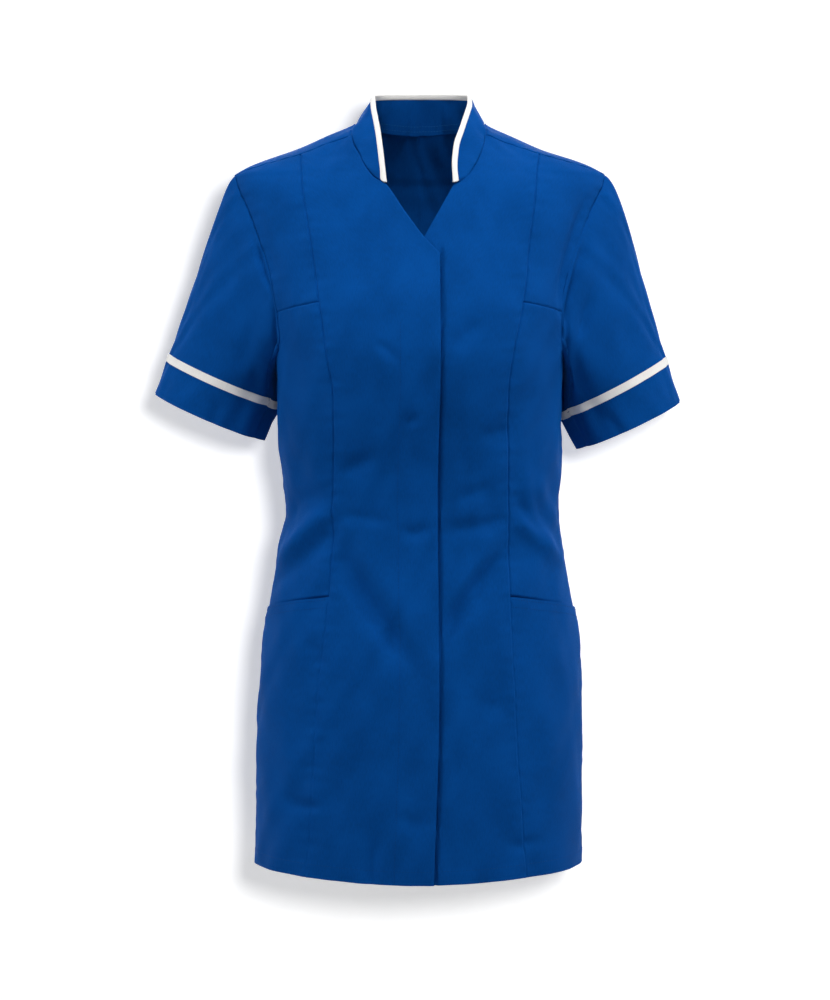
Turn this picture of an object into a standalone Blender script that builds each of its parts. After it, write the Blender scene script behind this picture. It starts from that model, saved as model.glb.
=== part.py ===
"""A short-sleeved healthcare tunic with a mandarin collar, filled out as it is when worn.

Metres, +Z up. The origin is the centre of the neck opening, level with the neck ends of the
shoulders. The front faces -Y, and the wearer's left is +X. Angles go round the body from the
front: 0 is the centre front, 90 the wearer's left side, 180 the centre back.
"""

import math
from collections import namedtuple

import bmesh
import bpy
import numpy as np
from mathutils import Vector

# Cloth and seams
CLOTH = 0.0012
COLLAR_CLOTH = 0.0020
TRIM_CLOTH = 0.0016
BINDING_CLOTH = 0.0020
SEAM_GAP = 0.0003
ARMHOLE_GAP = 0.0009
SLEEVE_CLEARANCE = 0.0020

# The body below the collar
HEM_SIDE = -0.789
HEM_DIP_FRONT = 0.009
HEM_DIP_BACK = 0.004
BUST_SEAM_INNER = -0.197
ROW_LEVEL_AT_UNDERARM = -0.285
POCKET_MOUTH_INNER = -0.5025
POCKET_MOUTH_OUTER = -0.5190
SIDE_SEAM_ANGLE = 92.0
UNDERLAP_DEPTH = 0.0020
UNDERLAP_BLEND = (0.024, 0.062)
NECK_FRONT_ANGLE = 22.0
COLLAR_END_ANGLE = 25.5
RIDGE_ANGLE = 90.0

# Sleeves, cuffs and trims
SLEEVE_DEPTH = 0.051
SLEEVE_FRONT_DROP = 0.006
SLEEVE_PUFF_WAY = (0.93, 0.36)
SLEEVE_PUFF_REACH = 0.10
SLEEVE_CLEAR_BY = 0.3
TRIM_WIDTH = 0.0086
BINDING_WIDTH = 0.0062
BINDING_SHARE = 0.8

# Hidden press studs
STUD_COUNT = 6
STUD_RADIUS = 0.0055
STUD_THICKNESS = 0.0018
STUD_SIDES = 16
STUD_CLEARANCE = 0.0009
STUD_TOP = -0.190
STUD_BOTTOM = -0.690
STUD_X = 0.003

# How finely each stretch is divided
ROWS_BELOW_POCKET = 6
ROWS_ABOVE_POCKET = 6
ROWS_UNDER_ARMHOLE = 3
ROWS_FLY_TOP = 2
ROWS_V_NECK = 3
ROWS_NECK_FRONT = 5
ROWS_ARMHOLE_BACK = 8
ROWS_NECK_SIDE = 3
ROWS_SLEEVE = 7
ROWS_CUFF = 2
ROWS_COLLAR = 3
COLUMNS_FRONT = 7
COLUMNS_SIDE = 5
COLUMNS_BACK = 18
SHARP_ANGLE = 40.0

# How the surfaces are worked out
RIDGE_SOFTNESS = 0.14
FOLD_RADIUS = 0.14
FOLD_FADE_IN = (-0.25, 0.30)
FOLD_FADE_OUT = (0.70, 1.25)
NORMAL_STEP = 0.002
HALVINGS = 40
WELD = 1e-6

Ring = namedtuple("Ring", "height half_width front back front_power back_power sway")
RINGS = (
    Ring(0.004, 0.066, 0.055, 0.062, 1.70, 2.00, 0.000),
    Ring(0.000, 0.071, 0.057, 0.064, 1.65, 1.90, 0.000),
    Ring(-0.013, 0.102, 0.063, 0.070, 1.55, 1.60, -0.0015),
    Ring(-0.026, 0.133, 0.070, 0.076, 1.45, 1.45, -0.0015),
    Ring(-0.039, 0.172, 0.076, 0.081, 1.36, 1.36, 0.000),
    Ring(-0.046, 0.188, 0.079, 0.083, 1.42, 1.42, 0.000),
    Ring(-0.055, 0.200, 0.082, 0.086, 1.55, 1.55, 0.000),
    Ring(-0.066, 0.1995, 0.086, 0.088, 1.80, 1.80, 0.000),
    Ring(-0.080, 0.196, 0.091, 0.091, 2.00, 2.00, 0.000),
    Ring(-0.120, 0.187, 0.104, 0.096, 2.20, 2.20, 0.000),
    Ring(-0.170, 0.175, 0.121, 0.101, 2.30, 2.30, 0.000),
    Ring(-0.210, 0.165, 0.133, 0.101, 2.40, 2.30, 0.000),
    Ring(-0.250, 0.154, 0.137, 0.099, 2.50, 2.30, 0.000),
    Ring(-0.300, 0.152, 0.130, 0.094, 2.40, 2.30, -0.001),
    Ring(-0.345, 0.152, 0.120, 0.087, 2.30, 2.20, 0.000),
    Ring(-0.380, 0.149, 0.113, 0.082, 2.30, 2.20, 0.002),
    Ring(-0.415, 0.146, 0.110, 0.080, 2.20, 2.20, 0.002),
    Ring(-0.450, 0.152, 0.110, 0.084, 2.20, 2.20, 0.001),
    Ring(-0.500, 0.161, 0.114, 0.098, 2.20, 2.20, 0.001),
    Ring(-0.560, 0.169, 0.120, 0.114, 2.20, 2.20, 0.001),
    Ring(-0.620, 0.1725, 0.124, 0.124, 2.20, 2.20, 0.000),
    Ring(-0.700, 0.1735, 0.127, 0.128, 2.20, 2.20, -0.001),
    Ring(-0.800, 0.173, 0.129, 0.130, 2.20, 2.20, -0.002),
)

# The largest folds, each along a line on the body. A positive rise is a ridge, a negative one a trough.
Fold = namedtuple("Fold", "angle_a height_a angle_b height_b half_width rise")
FOLDS = (
    Fold(-43, -0.408, -76, -0.468, 0.013, 0.0045),
    Fold(-47, -0.440, -80, -0.492, 0.013, -0.0035),
    Fold(50, -0.420, 76, -0.466, 0.012, 0.0040),
    Fold(56, -0.384, 78, -0.430, 0.012, 0.0040),
    Fold(-40, -0.464, -6, -0.560, 0.016, -0.0035),
    Fold(44, -0.460, 12, -0.540, 0.014, -0.0040),
    Fold(-150, -0.400, -106, -0.462, 0.014, 0.0040),
    Fold(152, -0.394, 110, -0.450, 0.014, 0.0045),
    Fold(168, -0.440, 122, -0.505, 0.016, -0.0035),
)

# Each princess seam's distance from the centre, wearer's right and left.
Seam = namedtuple("Seam", "height right left")
PRINCESS = (
    Seam(-0.035, 0.1267, 0.1267),
    Seam(-0.050, 0.1255, 0.1240),
    Seam(-0.075, 0.1235, 0.1215),
    Seam(-0.130, 0.1145, 0.1145),
    Seam(-0.197, 0.1050, 0.1076),
    Seam(-0.250, 0.0972, 0.0967),
    Seam(-0.300, 0.0900, 0.0912),
    Seam(-0.400, 0.0905, 0.0918),
    Seam(-0.500, 0.0948, 0.0937),
    Seam(-0.600, 0.1065, 0.0978),
    Seam(-0.700, 0.1120, 0.1035),
    Seam(-0.800, 0.1190, 0.1110),
)

# The free edge of each front, from the V neck down: x at each height.
Edge = namedtuple("Edge", "height x")
FLY_EDGE = (
    Edge(-0.147, 0.0204),
    Edge(-0.250, 0.0210),
    Edge(-0.400, 0.0180),
    Edge(-0.600, 0.0197),
    Edge(-0.800, 0.0140),
)
UNDERLAP_EDGE = (Edge(-0.1625, -0.0160), Edge(-0.800, -0.0160))
V_NECK_RIGHT = (Edge(-0.0725, -0.0350), Edge(-0.129, 0.0039), Edge(-0.147, 0.0204))
V_NECK_LEFT = (Edge(-0.0725, 0.0350), Edge(-0.129, 0.0039), Edge(-0.1625, -0.0160))

# Seams that wander over the body, as points in order.
Spot = namedtuple("Spot", "angle height")
NECK = (
    Spot(22, -0.0725),
    Spot(30, -0.0655),
    Spot(39, -0.0505),
    Spot(46, -0.0380),
    Spot(53, -0.0262),
    Spot(61, -0.0145),
    Spot(73, -0.0040),
    Spot(90, 0.0015),
    Spot(135, 0.0005),
    Spot(180, -0.0010),
)
SHOULDER = (
    Spot(61, -0.0145),
    Spot(70.5, -0.0245),
    Spot(75, -0.0350),
    Spot(82, -0.0430),
    Spot(88, -0.0530),
)
SHOULDER_AT_PRINCESS = 2
ARMHOLE_FRONT = (
    Spot(92, -0.2560),
    Spot(75, -0.2460),
    Spot(67, -0.2260),
    Spot(66, -0.2050),
    Spot(70.4, -0.1570),
    Spot(76.6, -0.1140),
    Spot(81.5, -0.0850),
    Spot(88, -0.0530),
)
ARMHOLE_AT_BUST = 3
ARMHOLE_BACK = (
    Spot(92, -0.2560),
    Spot(100, -0.2400),
    Spot(106, -0.2050),
    Spot(107, -0.1600),
    Spot(103, -0.1100),
    Spot(96, -0.0750),
    Spot(88, -0.0530),
)

# The collar's free edge, wearer's right and left, by the angle of the seam point below it.
CollarEdge = namedtuple("CollarEdge", "angle right_x left_x y height")
COLLAR_EDGE = (
    CollarEdge(25.5, 0.0352, 0.0345, -0.0878, -0.0706),
    CollarEdge(33, 0.0375, 0.0335, -0.0800, -0.0500),
    CollarEdge(41, 0.0400, 0.0354, -0.0690, -0.0290),
    CollarEdge(49, 0.0430, 0.0421, -0.0545, -0.0080),
    CollarEdge(58, 0.0465, 0.0481, -0.0400, 0.0100),
    CollarEdge(70, 0.0490, 0.0521, -0.0270, 0.0240),
    CollarEdge(90, 0.0500, 0.0525, -0.0030, 0.0330),
    CollarEdge(120, 0.0450, 0.0465, 0.0290, 0.0385),
    CollarEdge(150, 0.0260, 0.0260, 0.0490, 0.0420),
    CollarEdge(180, 0.0000, 0.0000, 0.0550, 0.0430),
)

# Where each sleeve's trim and hem reach, at their outer and inner ends, how far behind the middle of the
# body they hang, and how far the sleeve's head swells.
SleeveEnd = namedtuple("SleeveEnd", "outer_x outer_height inner_x inner_height set_back")
Sleeve = namedtuple("Sleeve", "trim hem puff")
SLEEVES = {
    "right": Sleeve(
        trim=SleeveEnd(0.2709, -0.2430, 0.1480, -0.2960, 0.026),
        hem=SleeveEnd(0.2870, -0.2860, 0.1690, -0.3370, 0.030),
        puff=0.0075,
    ),
    "left": Sleeve(
        trim=SleeveEnd(0.2655, -0.2460, 0.1475, -0.3075, 0.026),
        hem=SleeveEnd(0.2817, -0.2946, 0.1700, -0.3465, 0.030),
        puff=0.0115,
    ),
}

# Colour (linear), roughness and metallic value of each finish.
Finish = namedtuple("Finish", "colour roughness metallic")
FINISHES = {
    "blue_cloth": Finish((0.0025, 0.050, 0.235), 0.80, 0.0),
    "white_trim": Finish((0.80, 0.79, 0.77), 0.75, 0.0),
    "stud_metal": Finish((0.60, 0.61, 0.63), 0.30, 1.0),
}

SIDES = {"right": -1, "left": 1}


# ---------------------------------------------------------------- curves and surfaces


def smooth(keys, values):
    """A function through the values at the keys, which never overshoots them. Values may have columns."""
    keys = np.asarray(keys, float)
    values = np.asarray(values, float).reshape(len(keys), -1)
    if keys[0] > keys[-1]:
        keys, values = keys[::-1], values[::-1]
    steps = np.diff(keys)[:, None]
    chords = np.diff(values, axis=0) / steps
    slopes = np.concatenate([chords[:1], np.zeros_like(chords[1:]), chords[-1:]])
    if len(keys) > 2:
        before, after = chords[:-1], chords[1:]
        short, long = 2 * steps[1:] + steps[:-1], steps[1:] + 2 * steps[:-1]
        same = before * after > 0
        safe_before, safe_after = np.where(same, before, 1), np.where(same, after, 1)
        mean = (short + long) / (short / safe_before + long / safe_after)
        slopes[1:-1] = np.where(same, mean, 0)

    def at(key):
        key = np.clip(np.asarray(key, float), keys[0], keys[-1])
        low = np.clip(np.searchsorted(keys, key, side="right") - 1, 0, len(keys) - 2)
        step = (keys[low + 1] - keys[low])[..., None]
        part = (key - keys[low])[..., None] / step
        return (
            (1 + 2 * part) * (1 - part) ** 2 * values[low]
            + part * (1 - part) ** 2 * step * slopes[low]
            + part**2 * (3 - 2 * part) * values[low + 1]
            + part**2 * (part - 1) * step * slopes[low + 1]
        )

    return at


def smooth_round(angles, right, left):
    """A function of degrees round the neck, from a table that ends at the centre back."""
    other_side = [360 - angle for angle in angles[-2::-1]]
    return smooth([*angles, *other_side], [*left, *right[-2::-1]])


ring_at = smooth([ring.height for ring in RINGS], [ring[1:] for ring in RINGS])
neck_heights = [spot.height for spot in NECK]
neck_height = smooth_round([spot.angle for spot in NECK], neck_heights, neck_heights)
collar_edge = smooth_round(
    [row.angle for row in COLLAR_EDGE],
    [(-row.right_x, row.y, row.height) for row in COLLAR_EDGE],
    [(row.left_x, row.y, row.height) for row in COLLAR_EDGE],
)


def fade(value, start, end):
    """0 before start, 1 after end, and smooth between."""
    part = np.clip((value - start) / (end - start), 0, 1)
    return part * part * (3 - 2 * part)


def fold_rise(angle, height):
    """How far the folds lift the cloth at each point."""
    rise = np.zeros(np.broadcast(angle, height).shape)
    for fold in FOLDS:
        start = np.array([math.radians(fold.angle_a) * FOLD_RADIUS, fold.height_a])
        run = np.array([math.radians(fold.angle_b) * FOLD_RADIUS, fold.height_b]) - start
        across = angle * FOLD_RADIUS - start[0]
        up = height - start[1]
        part = (across * run[0] + up * run[1]) / (run @ run)
        aside = (across * run[1] - up * run[0]) / math.hypot(*run)
        ends = fade(part, *FOLD_FADE_IN) * (1 - fade(part, *FOLD_FADE_OUT))
        rise = rise + fold.rise * ends * np.exp(-((aside / fold.half_width) ** 2))
    return rise


def rounded_power(part, power):
    """|part| to a power, from 0 at 0 to 1 at 1, with no crease at 0."""
    soft = np.power(part**2 + RIDGE_SOFTNESS**2, power / 2) - RIDGE_SOFTNESS**power
    return soft / ((1 + RIDGE_SOFTNESS**2) ** (power / 2) - RIDGE_SOFTNESS**power)


def smooth_body(angle, height):
    """Points of the body without its folds."""
    angle, height = np.broadcast_arrays(np.asarray(angle, float), np.asarray(height, float))
    width, front, back, front_power, back_power, sway = np.moveaxis(ring_at(height), -1, 0)
    ahead = np.cos(angle) > 0
    depth = np.where(ahead, front, back)
    power = np.where(ahead, front_power, back_power)
    across = rounded_power(np.sin(angle), power) / width**power
    along = rounded_power(np.cos(angle), power) / depth**power
    radius = (across + along) ** (-1 / power)
    return np.stack([radius * np.sin(angle) + sway, -radius * np.cos(angle), height], -1)


def body_normal(angle, height):
    """The outward direction at each point of the body."""
    across = smooth_body(angle + NORMAL_STEP, height) - smooth_body(angle - NORMAL_STEP, height)
    up = smooth_body(angle, height + NORMAL_STEP) - smooth_body(angle, height - NORMAL_STEP)
    normal = np.cross(across, up)
    return normal / np.linalg.norm(normal, axis=-1, keepdims=True)


def body(spots, lift=0.0):
    """Points of the body at an array of (angle, height), moved out by lift."""
    angle, height = spots[..., 0], spots[..., 1]
    rise = np.asarray(fold_rise(angle, height) + lift)
    return smooth_body(angle, height) + rise[..., None] * body_normal(angle, height)


def front_angle(x, height):
    """The angle at which the front of the body stands at this x, found by halving."""
    height = np.asarray(height, float)
    side = np.where(x > ring_at(height)[..., -1], 1, -1)
    low, high = np.zeros_like(height), np.full_like(height, math.pi / 2)
    for _ in range(HALVINGS):
        middle = (low + high) / 2
        inside = side * (x - smooth_body(side * middle, height)[..., 0]) > 0
        low, high = np.where(inside, middle, low), np.where(inside, high, middle)
    return side * low


def hem_height(angle):
    dip = np.where(np.cos(angle) > 0, HEM_DIP_FRONT, HEM_DIP_BACK)
    return HEM_SIDE - dip * np.cos(angle) ** 2


# ---------------------------------------------------------------- seams as arrays of (angle, height)


def joined(*stretches):
    """One seam from stretches that start where the last one ended."""
    return np.concatenate([stretches[0]] + [stretch[1:] for stretch in stretches[1:]])


def levels(*stops):
    """Heights from (height, rows), (height, rows), ..., the first with no rows."""
    stretches = [np.linspace(a[0], b[0], b[1] + 1) for a, b in zip(stops, stops[1:])]
    return joined(*stretches)


def by_x(heights, x):
    """A seam on the front from its x at each height."""
    return np.stack([front_angle(x, heights), heights], -1)


def through(table, rows, knot=None, side=1):
    """A seam through a table of spots, with so many rows, or (below, above) rows about a knot."""
    spots = np.array([(math.radians(spot.angle), spot.height) for spot in table])
    lengths = np.linalg.norm(np.diff(smooth_body(spots[:, 0], spots[:, 1]), axis=0), axis=1)
    way = np.concatenate([[0], np.cumsum(lengths)])
    if knot is None:
        stations = np.linspace(0, way[-1], rows + 1)
    else:
        stations = joined(
            np.linspace(0, way[knot], rows[0] + 1), np.linspace(way[knot], way[-1], rows[1] + 1)
        )
    return smooth(way, spots)(stations) * (side, 1)


def hem(start, end, columns):
    angle = np.linspace(start, end, columns + 1)
    return np.stack([angle, hem_height(angle)], -1)


def row_between(start, end, columns):
    """A straight row of cloth from one spot to another."""
    return start + (end - start) * np.linspace(0, 1, columns + 1)[:, None]


def filled(bottom, right, top, left):
    """The spots of a panel inside its four edges: bottom and top run left to right, the others upwards."""
    across = np.linspace(0, 1, len(bottom))[None, :, None]
    up = np.linspace(0, 1, len(left))[:, None, None]
    sides = left[:, None] * (1 - across) + right[:, None] * across
    ends = bottom[None] * (1 - up) + top[None] * up
    corners = (bottom[0] * (1 - across) + bottom[-1] * across) * (1 - up) + (
        top[0] * (1 - across) + top[-1] * across
    ) * up
    return sides + ends - corners


ROWS_UPPER = ROWS_FLY_TOP + ROWS_V_NECK + ROWS_NECK_FRONT
ROWS_LOWER = ROWS_BELOW_POCKET + ROWS_ABOVE_POCKET + ROWS_UNDER_ARMHOLE
TURN = {"right": slice(None), "left": slice(None, None, -1)}


def princess_seam(side):
    """From the hem to the shoulder."""
    distance = smooth([seam.height for seam in PRINCESS], [getattr(seam, side) for seam in PRINCESS])
    bottom = HEM_SIDE - HEM_DIP_FRONT / 2
    top = SHOULDER[SHOULDER_AT_PRINCESS].height
    heights = levels(
        (bottom,),
        (POCKET_MOUTH_INNER, ROWS_BELOW_POCKET),
        (ROW_LEVEL_AT_UNDERARM, ROWS_ABOVE_POCKET),
        (BUST_SEAM_INNER, ROWS_UNDER_ARMHOLE),
        (top, ROWS_UPPER),
    )
    seam = by_x(heights, SIDES[side] * distance(heights)[:, 0])
    seam[-1] = SIDES[side] * math.radians(SHOULDER[SHOULDER_AT_PRINCESS].angle), top
    seam[0, 1] = hem_height(seam[0, 0])
    return seam


def side_seam(side):
    """From the hem to the underarm."""
    heights = levels(
        (HEM_SIDE,),
        (POCKET_MOUTH_OUTER, ROWS_BELOW_POCKET),
        (ARMHOLE_FRONT[0].height, ROWS_ABOVE_POCKET),
    )
    angle = SIDES[side] * math.radians(SIDE_SEAM_ANGLE)
    return np.stack([np.full_like(heights, angle), heights], -1)


def front_armhole(side):
    """From the underarm to the shoulder."""
    return through(ARMHOLE_FRONT, (ROWS_UNDER_ARMHOLE, ROWS_UPPER), ARMHOLE_AT_BUST, SIDES[side])


def back_armhole(side):
    return through(ARMHOLE_BACK, ROWS_ARMHOLE_BACK, side=SIDES[side])


def shoulder_seam(side):
    """From the neck to the armhole."""
    return through(SHOULDER, (COLUMNS_FRONT, COLUMNS_SIDE), SHOULDER_AT_PRINCESS, SIDES[side])


def neck_seam(start, end, rows, side=1):
    angle = np.radians(np.linspace(start, end, rows + 1))
    return np.stack([side * angle, neck_height(np.degrees(angle))[:, 0]], -1)


def front_neck(side):
    """From the V neck round to the shoulder seam, with a station where the collar cloth starts."""
    end = neck_seam(NECK_FRONT_ANGLE, COLLAR_END_ANGLE, 1, SIDES[side])
    return joined(end, neck_seam(COLLAR_END_ANGLE, SHOULDER[0].angle, ROWS_NECK_FRONT - 1, SIDES[side]))


def side_neck(side):
    """From the shoulder seam to the ridge of the shoulder."""
    return neck_seam(SHOULDER[0].angle, RIDGE_ANGLE, ROWS_NECK_SIDE, SIDES[side])


def free_edge(side, edge, v_neck, princess):
    """A front's edge from the hem up, with its V neck and the neck seam up to the shoulder."""
    top = edge[0].height
    fly_top = np.linspace(BUST_SEAM_INNER, top, ROWS_FLY_TOP + 1)
    heights = joined(princess[: ROWS_LOWER + 1, 1], fly_top)
    x = smooth([row.height for row in edge], [row.x for row in edge])(heights)[:, 0]
    straight = by_x(heights, x)
    straight[0, 1] = hem_height(straight[0, 0])
    rise = np.linspace(top, v_neck[0].height, ROWS_V_NECK + 1)
    x = smooth([row.height for row in v_neck], [row.x for row in v_neck])(rise)[:, 0]
    slant = by_x(rise, x)
    neck = front_neck(side)
    slant[-1] = neck[0]
    return joined(straight, slant, neck)


# ---------------------------------------------------------------- building pieces


def cleared():
    for obj in list(bpy.data.objects):
        bpy.data.objects.remove(obj, do_unlink=True)


def material(piece, finish):
    colour, roughness, metallic = FINISHES[finish]
    made = bpy.data.materials.new(piece)
    made.use_nodes = True
    shader = made.node_tree.nodes["Principled BSDF"]
    shader.inputs["Base Color"].default_value = (*colour, 1)
    shader.inputs["Roughness"].default_value = roughness
    shader.inputs["Metallic"].default_value = metallic
    made.diffuse_color = (*colour, 1)
    return made


def drawn_in(points, seams):
    """The points of a panel with the edges that are seams moved in by half a seam gap."""
    points = points.copy()
    columns = points.transpose(1, 0, 2)
    edges = {
        "bottom": (points[0], points[1]),
        "top": (points[-1], points[-2]),
        "left": (columns[0], columns[1]),
        "right": (columns[-1], columns[-2]),
    }
    for seam in seams:
        edge, inside = edges[seam]
        way = inside - edge
        edge += way / np.linalg.norm(way, axis=-1, keepdims=True) * SEAM_GAP / 2
    return points


def facing(points, tube=False):
    """The outward direction at each point of a grid."""
    if tube:
        points = np.concatenate([points[:, -2:-1], points, points[:, 1:2]], axis=1)
    across, up = np.gradient(points, axis=1), np.gradient(points, axis=0)
    normal = np.cross(across, up)
    normal = normal[:, 1:-1] if tube else normal
    return normal / np.linalg.norm(normal, axis=-1, keepdims=True)


def cloth(collection, name, outer, inner, finish, tube=False):
    """A wall of cloth between two grids of points."""
    rows, columns = outer.shape[:2]
    wall = bmesh.new()
    bmesh.ops.create_grid(wall, x_segments=columns - 1, y_segments=rows - 1, size=0.5)
    spot = wall.verts.layers.int.new("spot")
    for number, vertex in enumerate(wall.verts):
        vertex[spot] = number
        vertex.co = outer.reshape(-1, 3)[number]
    if tube:
        bmesh.ops.remove_doubles(wall, verts=wall.verts, dist=WELD)
    lining = bmesh.ops.extrude_face_region(wall, geom=wall.faces[:])["geom"]
    for vertex in lining:
        if isinstance(vertex, bmesh.types.BMVert):
            vertex.co = inner.reshape(-1, 3)[vertex[spot]]
    wall.verts.layers.int.remove(spot)
    bmesh.ops.recalc_face_normals(wall, faces=wall.faces)
    mesh = bpy.data.meshes.new(name)
    wall.to_mesh(mesh)
    wall.free()
    mesh.shade_smooth()
    mesh.set_sharp_from_angle(angle=math.radians(SHARP_ANGLE))
    mesh.materials.append(material(name, finish))
    collection.objects.link(bpy.data.objects.new(name, mesh))


def body_cloth(collection, name, spots, seams, lift=0.0):
    """A panel of the body, its outer face lifted so far off the body's form."""
    outer, inner = (drawn_in(body(spots, high), seams) for high in (lift, lift - CLOTH))
    cloth(collection, name, outer, inner, "blue_cloth")


def fronts(collection):
    """Both fronts, with the left one dipping under the fly edge of the right one."""
    for side, edge, v_neck in (
        ("right", FLY_EDGE, V_NECK_RIGHT),
        ("left", UNDERLAP_EDGE, V_NECK_LEFT),
    ):
        turn = TURN[side]
        outer = princess_seam(side)
        free = free_edge(side, edge, v_neck, outer)
        left, right = (outer, free)[turn]
        bottom = hem(left[0, 0], right[0, 0], COLUMNS_FRONT)
        top = shoulder_seam(side)[: COLUMNS_FRONT + 1]
        spots = filled(bottom, right, top[::-1] if side == "right" else top, left)
        lift = np.zeros(spots.shape[:2])
        if side == "left":
            x = smooth_body(spots[..., 0], spots[..., 1])[..., 0]
            lift = -UNDERLAP_DEPTH * (1 - fade(x, *UNDERLAP_BLEND))
        body_cloth(collection, f"front_{side}", spots, ("top", "left", "right"), lift)


def side_fronts(collection):
    """The upper and lower side fronts, and the pocket layers that lie on the lower ones."""
    for side in SIDES:
        turn = TURN[side]
        princess = princess_seam(side)
        armhole = front_armhole(side)
        bust = row_between(armhole[ROWS_UNDER_ARMHOLE], princess[ROWS_LOWER], COLUMNS_SIDE)
        shoulder = shoulder_seam(side)[COLUMNS_FRONT:][::-1]

        outer, inner = armhole[ROWS_UNDER_ARMHOLE:], princess[ROWS_LOWER:]
        left, right = (outer, inner)[turn]
        spots = filled(bust[turn], right, shoulder[turn], left)
        seams = ("bottom", "top", "left", "right")
        body_cloth(collection, f"side_front_upper_{side}", spots, seams)

        outer = joined(side_seam(side), armhole[: ROWS_UNDER_ARMHOLE + 1])
        left, right = (outer, princess[: ROWS_LOWER + 1])[turn]
        bottom = hem(left[0, 0], right[0, 0], COLUMNS_SIDE)
        spots = filled(bottom, right, bust[turn], left)
        body_cloth(collection, f"side_front_lower_{side}", spots, ("top", "left", "right"))
        lift = CLOTH + SEAM_GAP
        body_cloth(collection, f"pocket_{side}", spots[: ROWS_BELOW_POCKET + 1], ("left", "right"), lift)


def back_edge(side):
    """The back's edge from the hem up: side seam, armhole, shoulder seam and the side of the neck."""
    return joined(side_seam(side), back_armhole(side), shoulder_seam(side)[::-1], side_neck(side))


def round_the_back(seam):
    """Angles of the wearer's right side, counted on past 180 so that a row runs round the back."""
    return seam + np.where(seam[:, :1] < 0, 2 * math.pi, 0) * (1, 0)


def back(collection):
    left, right = back_edge("left"), round_the_back(back_edge("right"))
    bottom = hem(left[0, 0], right[0, 0], COLUMNS_BACK)
    top = neck_seam(RIDGE_ANGLE, 360 - RIDGE_ANGLE, COLUMNS_BACK)
    spots = filled(bottom, right, top, left)
    spots[..., 0] = np.where(spots[..., 0] > math.pi, spots[..., 0] - 2 * math.pi, spots[..., 0])
    body_cloth(collection, "back", spots, ("top", "left", "right"))


def sleeve_ring(end, around, side):
    """A ring across the sleeve: around is 0 at its outer end, a quarter turn at its front."""
    outer = np.array([side * end.outer_x, end.set_back, end.outer_height])
    inner = np.array([side * end.inner_x, end.set_back, end.inner_height])
    front = np.array([0, -SLEEVE_DEPTH, -SLEEVE_FRONT_DROP])
    across = np.cos(around)[:, None] * (outer - inner) / 2
    return (outer + inner) / 2 + across + np.sin(around)[:, None] * front


def outside_body(points, clearance):
    """The points, pushed out sideways where they are nearer to the body than the clearance."""
    sway = ring_at(points[..., 2])[..., -1]
    angle = np.arctan2(points[..., 0] - sway, -points[..., 1])
    radius = np.hypot(points[..., 0] - sway, points[..., 1])
    surface = smooth_body(angle, points[..., 2])
    least = np.hypot(surface[..., 0] - sway, surface[..., 1]) + clearance
    grow = (np.maximum(radius, least) / radius)[..., None]
    centre = np.stack([sway, 0 * sway, points[..., 2]], -1)
    return centre + (points - centre) * np.concatenate([grow, grow, np.ones_like(grow)], -1)


def sleeves(collection):
    """Each sleeve from the armhole to its trim, the cuff below it and the trim over their joint."""
    for name, side in SIDES.items():
        front, rear = front_armhole(name), back_armhole(name)
        loop = body(joined(front, rear[::-1]))
        steps = np.linalg.norm(np.diff(loop, axis=0), axis=1)
        way = np.concatenate([[0], np.cumsum(steps)]) / steps.sum()
        around = math.pi - 2 * math.pi * way
        sizes = SLEEVES[name]
        ring, cuff_hem = (sleeve_ring(end, around, side) for end in (sizes.trim, sizes.hem))

        part = np.linspace(0, 1, ROWS_SLEEVE + 1)[:, None, None]
        puff = sizes.puff * (1 - part) * (1 - np.exp(-part / SLEEVE_PUFF_REACH))
        puff_way = np.array([side * SLEEVE_PUFF_WAY[0], 0, SLEEVE_PUFF_WAY[1]])
        swell = puff * puff_way * np.maximum(np.cos(around), 0)[:, None]
        points = loop * (1 - part) + ring * part + swell
        points = outside_body(points, SLEEVE_CLEARANCE * fade(part[..., 0], 0, SLEEVE_CLEAR_BY))
        ring = points[-1]
        way_out = points[1] - points[0]
        points[0] += way_out / np.linalg.norm(way_out, axis=-1, keepdims=True) * ARMHOLE_GAP

        fall = cuff_hem - ring
        depth = np.linalg.norm(fall, axis=-1, keepdims=True)
        joint = ring + fall / depth * TRIM_WIDTH
        sleeve = np.concatenate([points, joint[None] - fall / depth * (SEAM_GAP / 2)])
        down = np.linspace(0, 1, ROWS_CUFF + 1)[:, None, None]
        cuff = (joint + fall / depth * (SEAM_GAP / 2)) * (1 - down) + cuff_hem * down
        trim = np.stack([ring, joint])
        for piece, points, lift, thickness, finish in (
            ("sleeve", sleeve, 0, CLOTH, "blue_cloth"),
            ("cuff", cuff, 0, CLOTH, "blue_cloth"),
            ("cuff_trim", trim, TRIM_CLOTH + SEAM_GAP, TRIM_CLOTH, "white_trim"),
        ):
            points = points[:, TURN[name]]
            outward = facing(points, tube=True)
            outer = points + outward * lift
            inner = outer - outward * thickness
            cloth(collection, f"{piece}_{name}", outer, inner, finish, tube=True)


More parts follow.
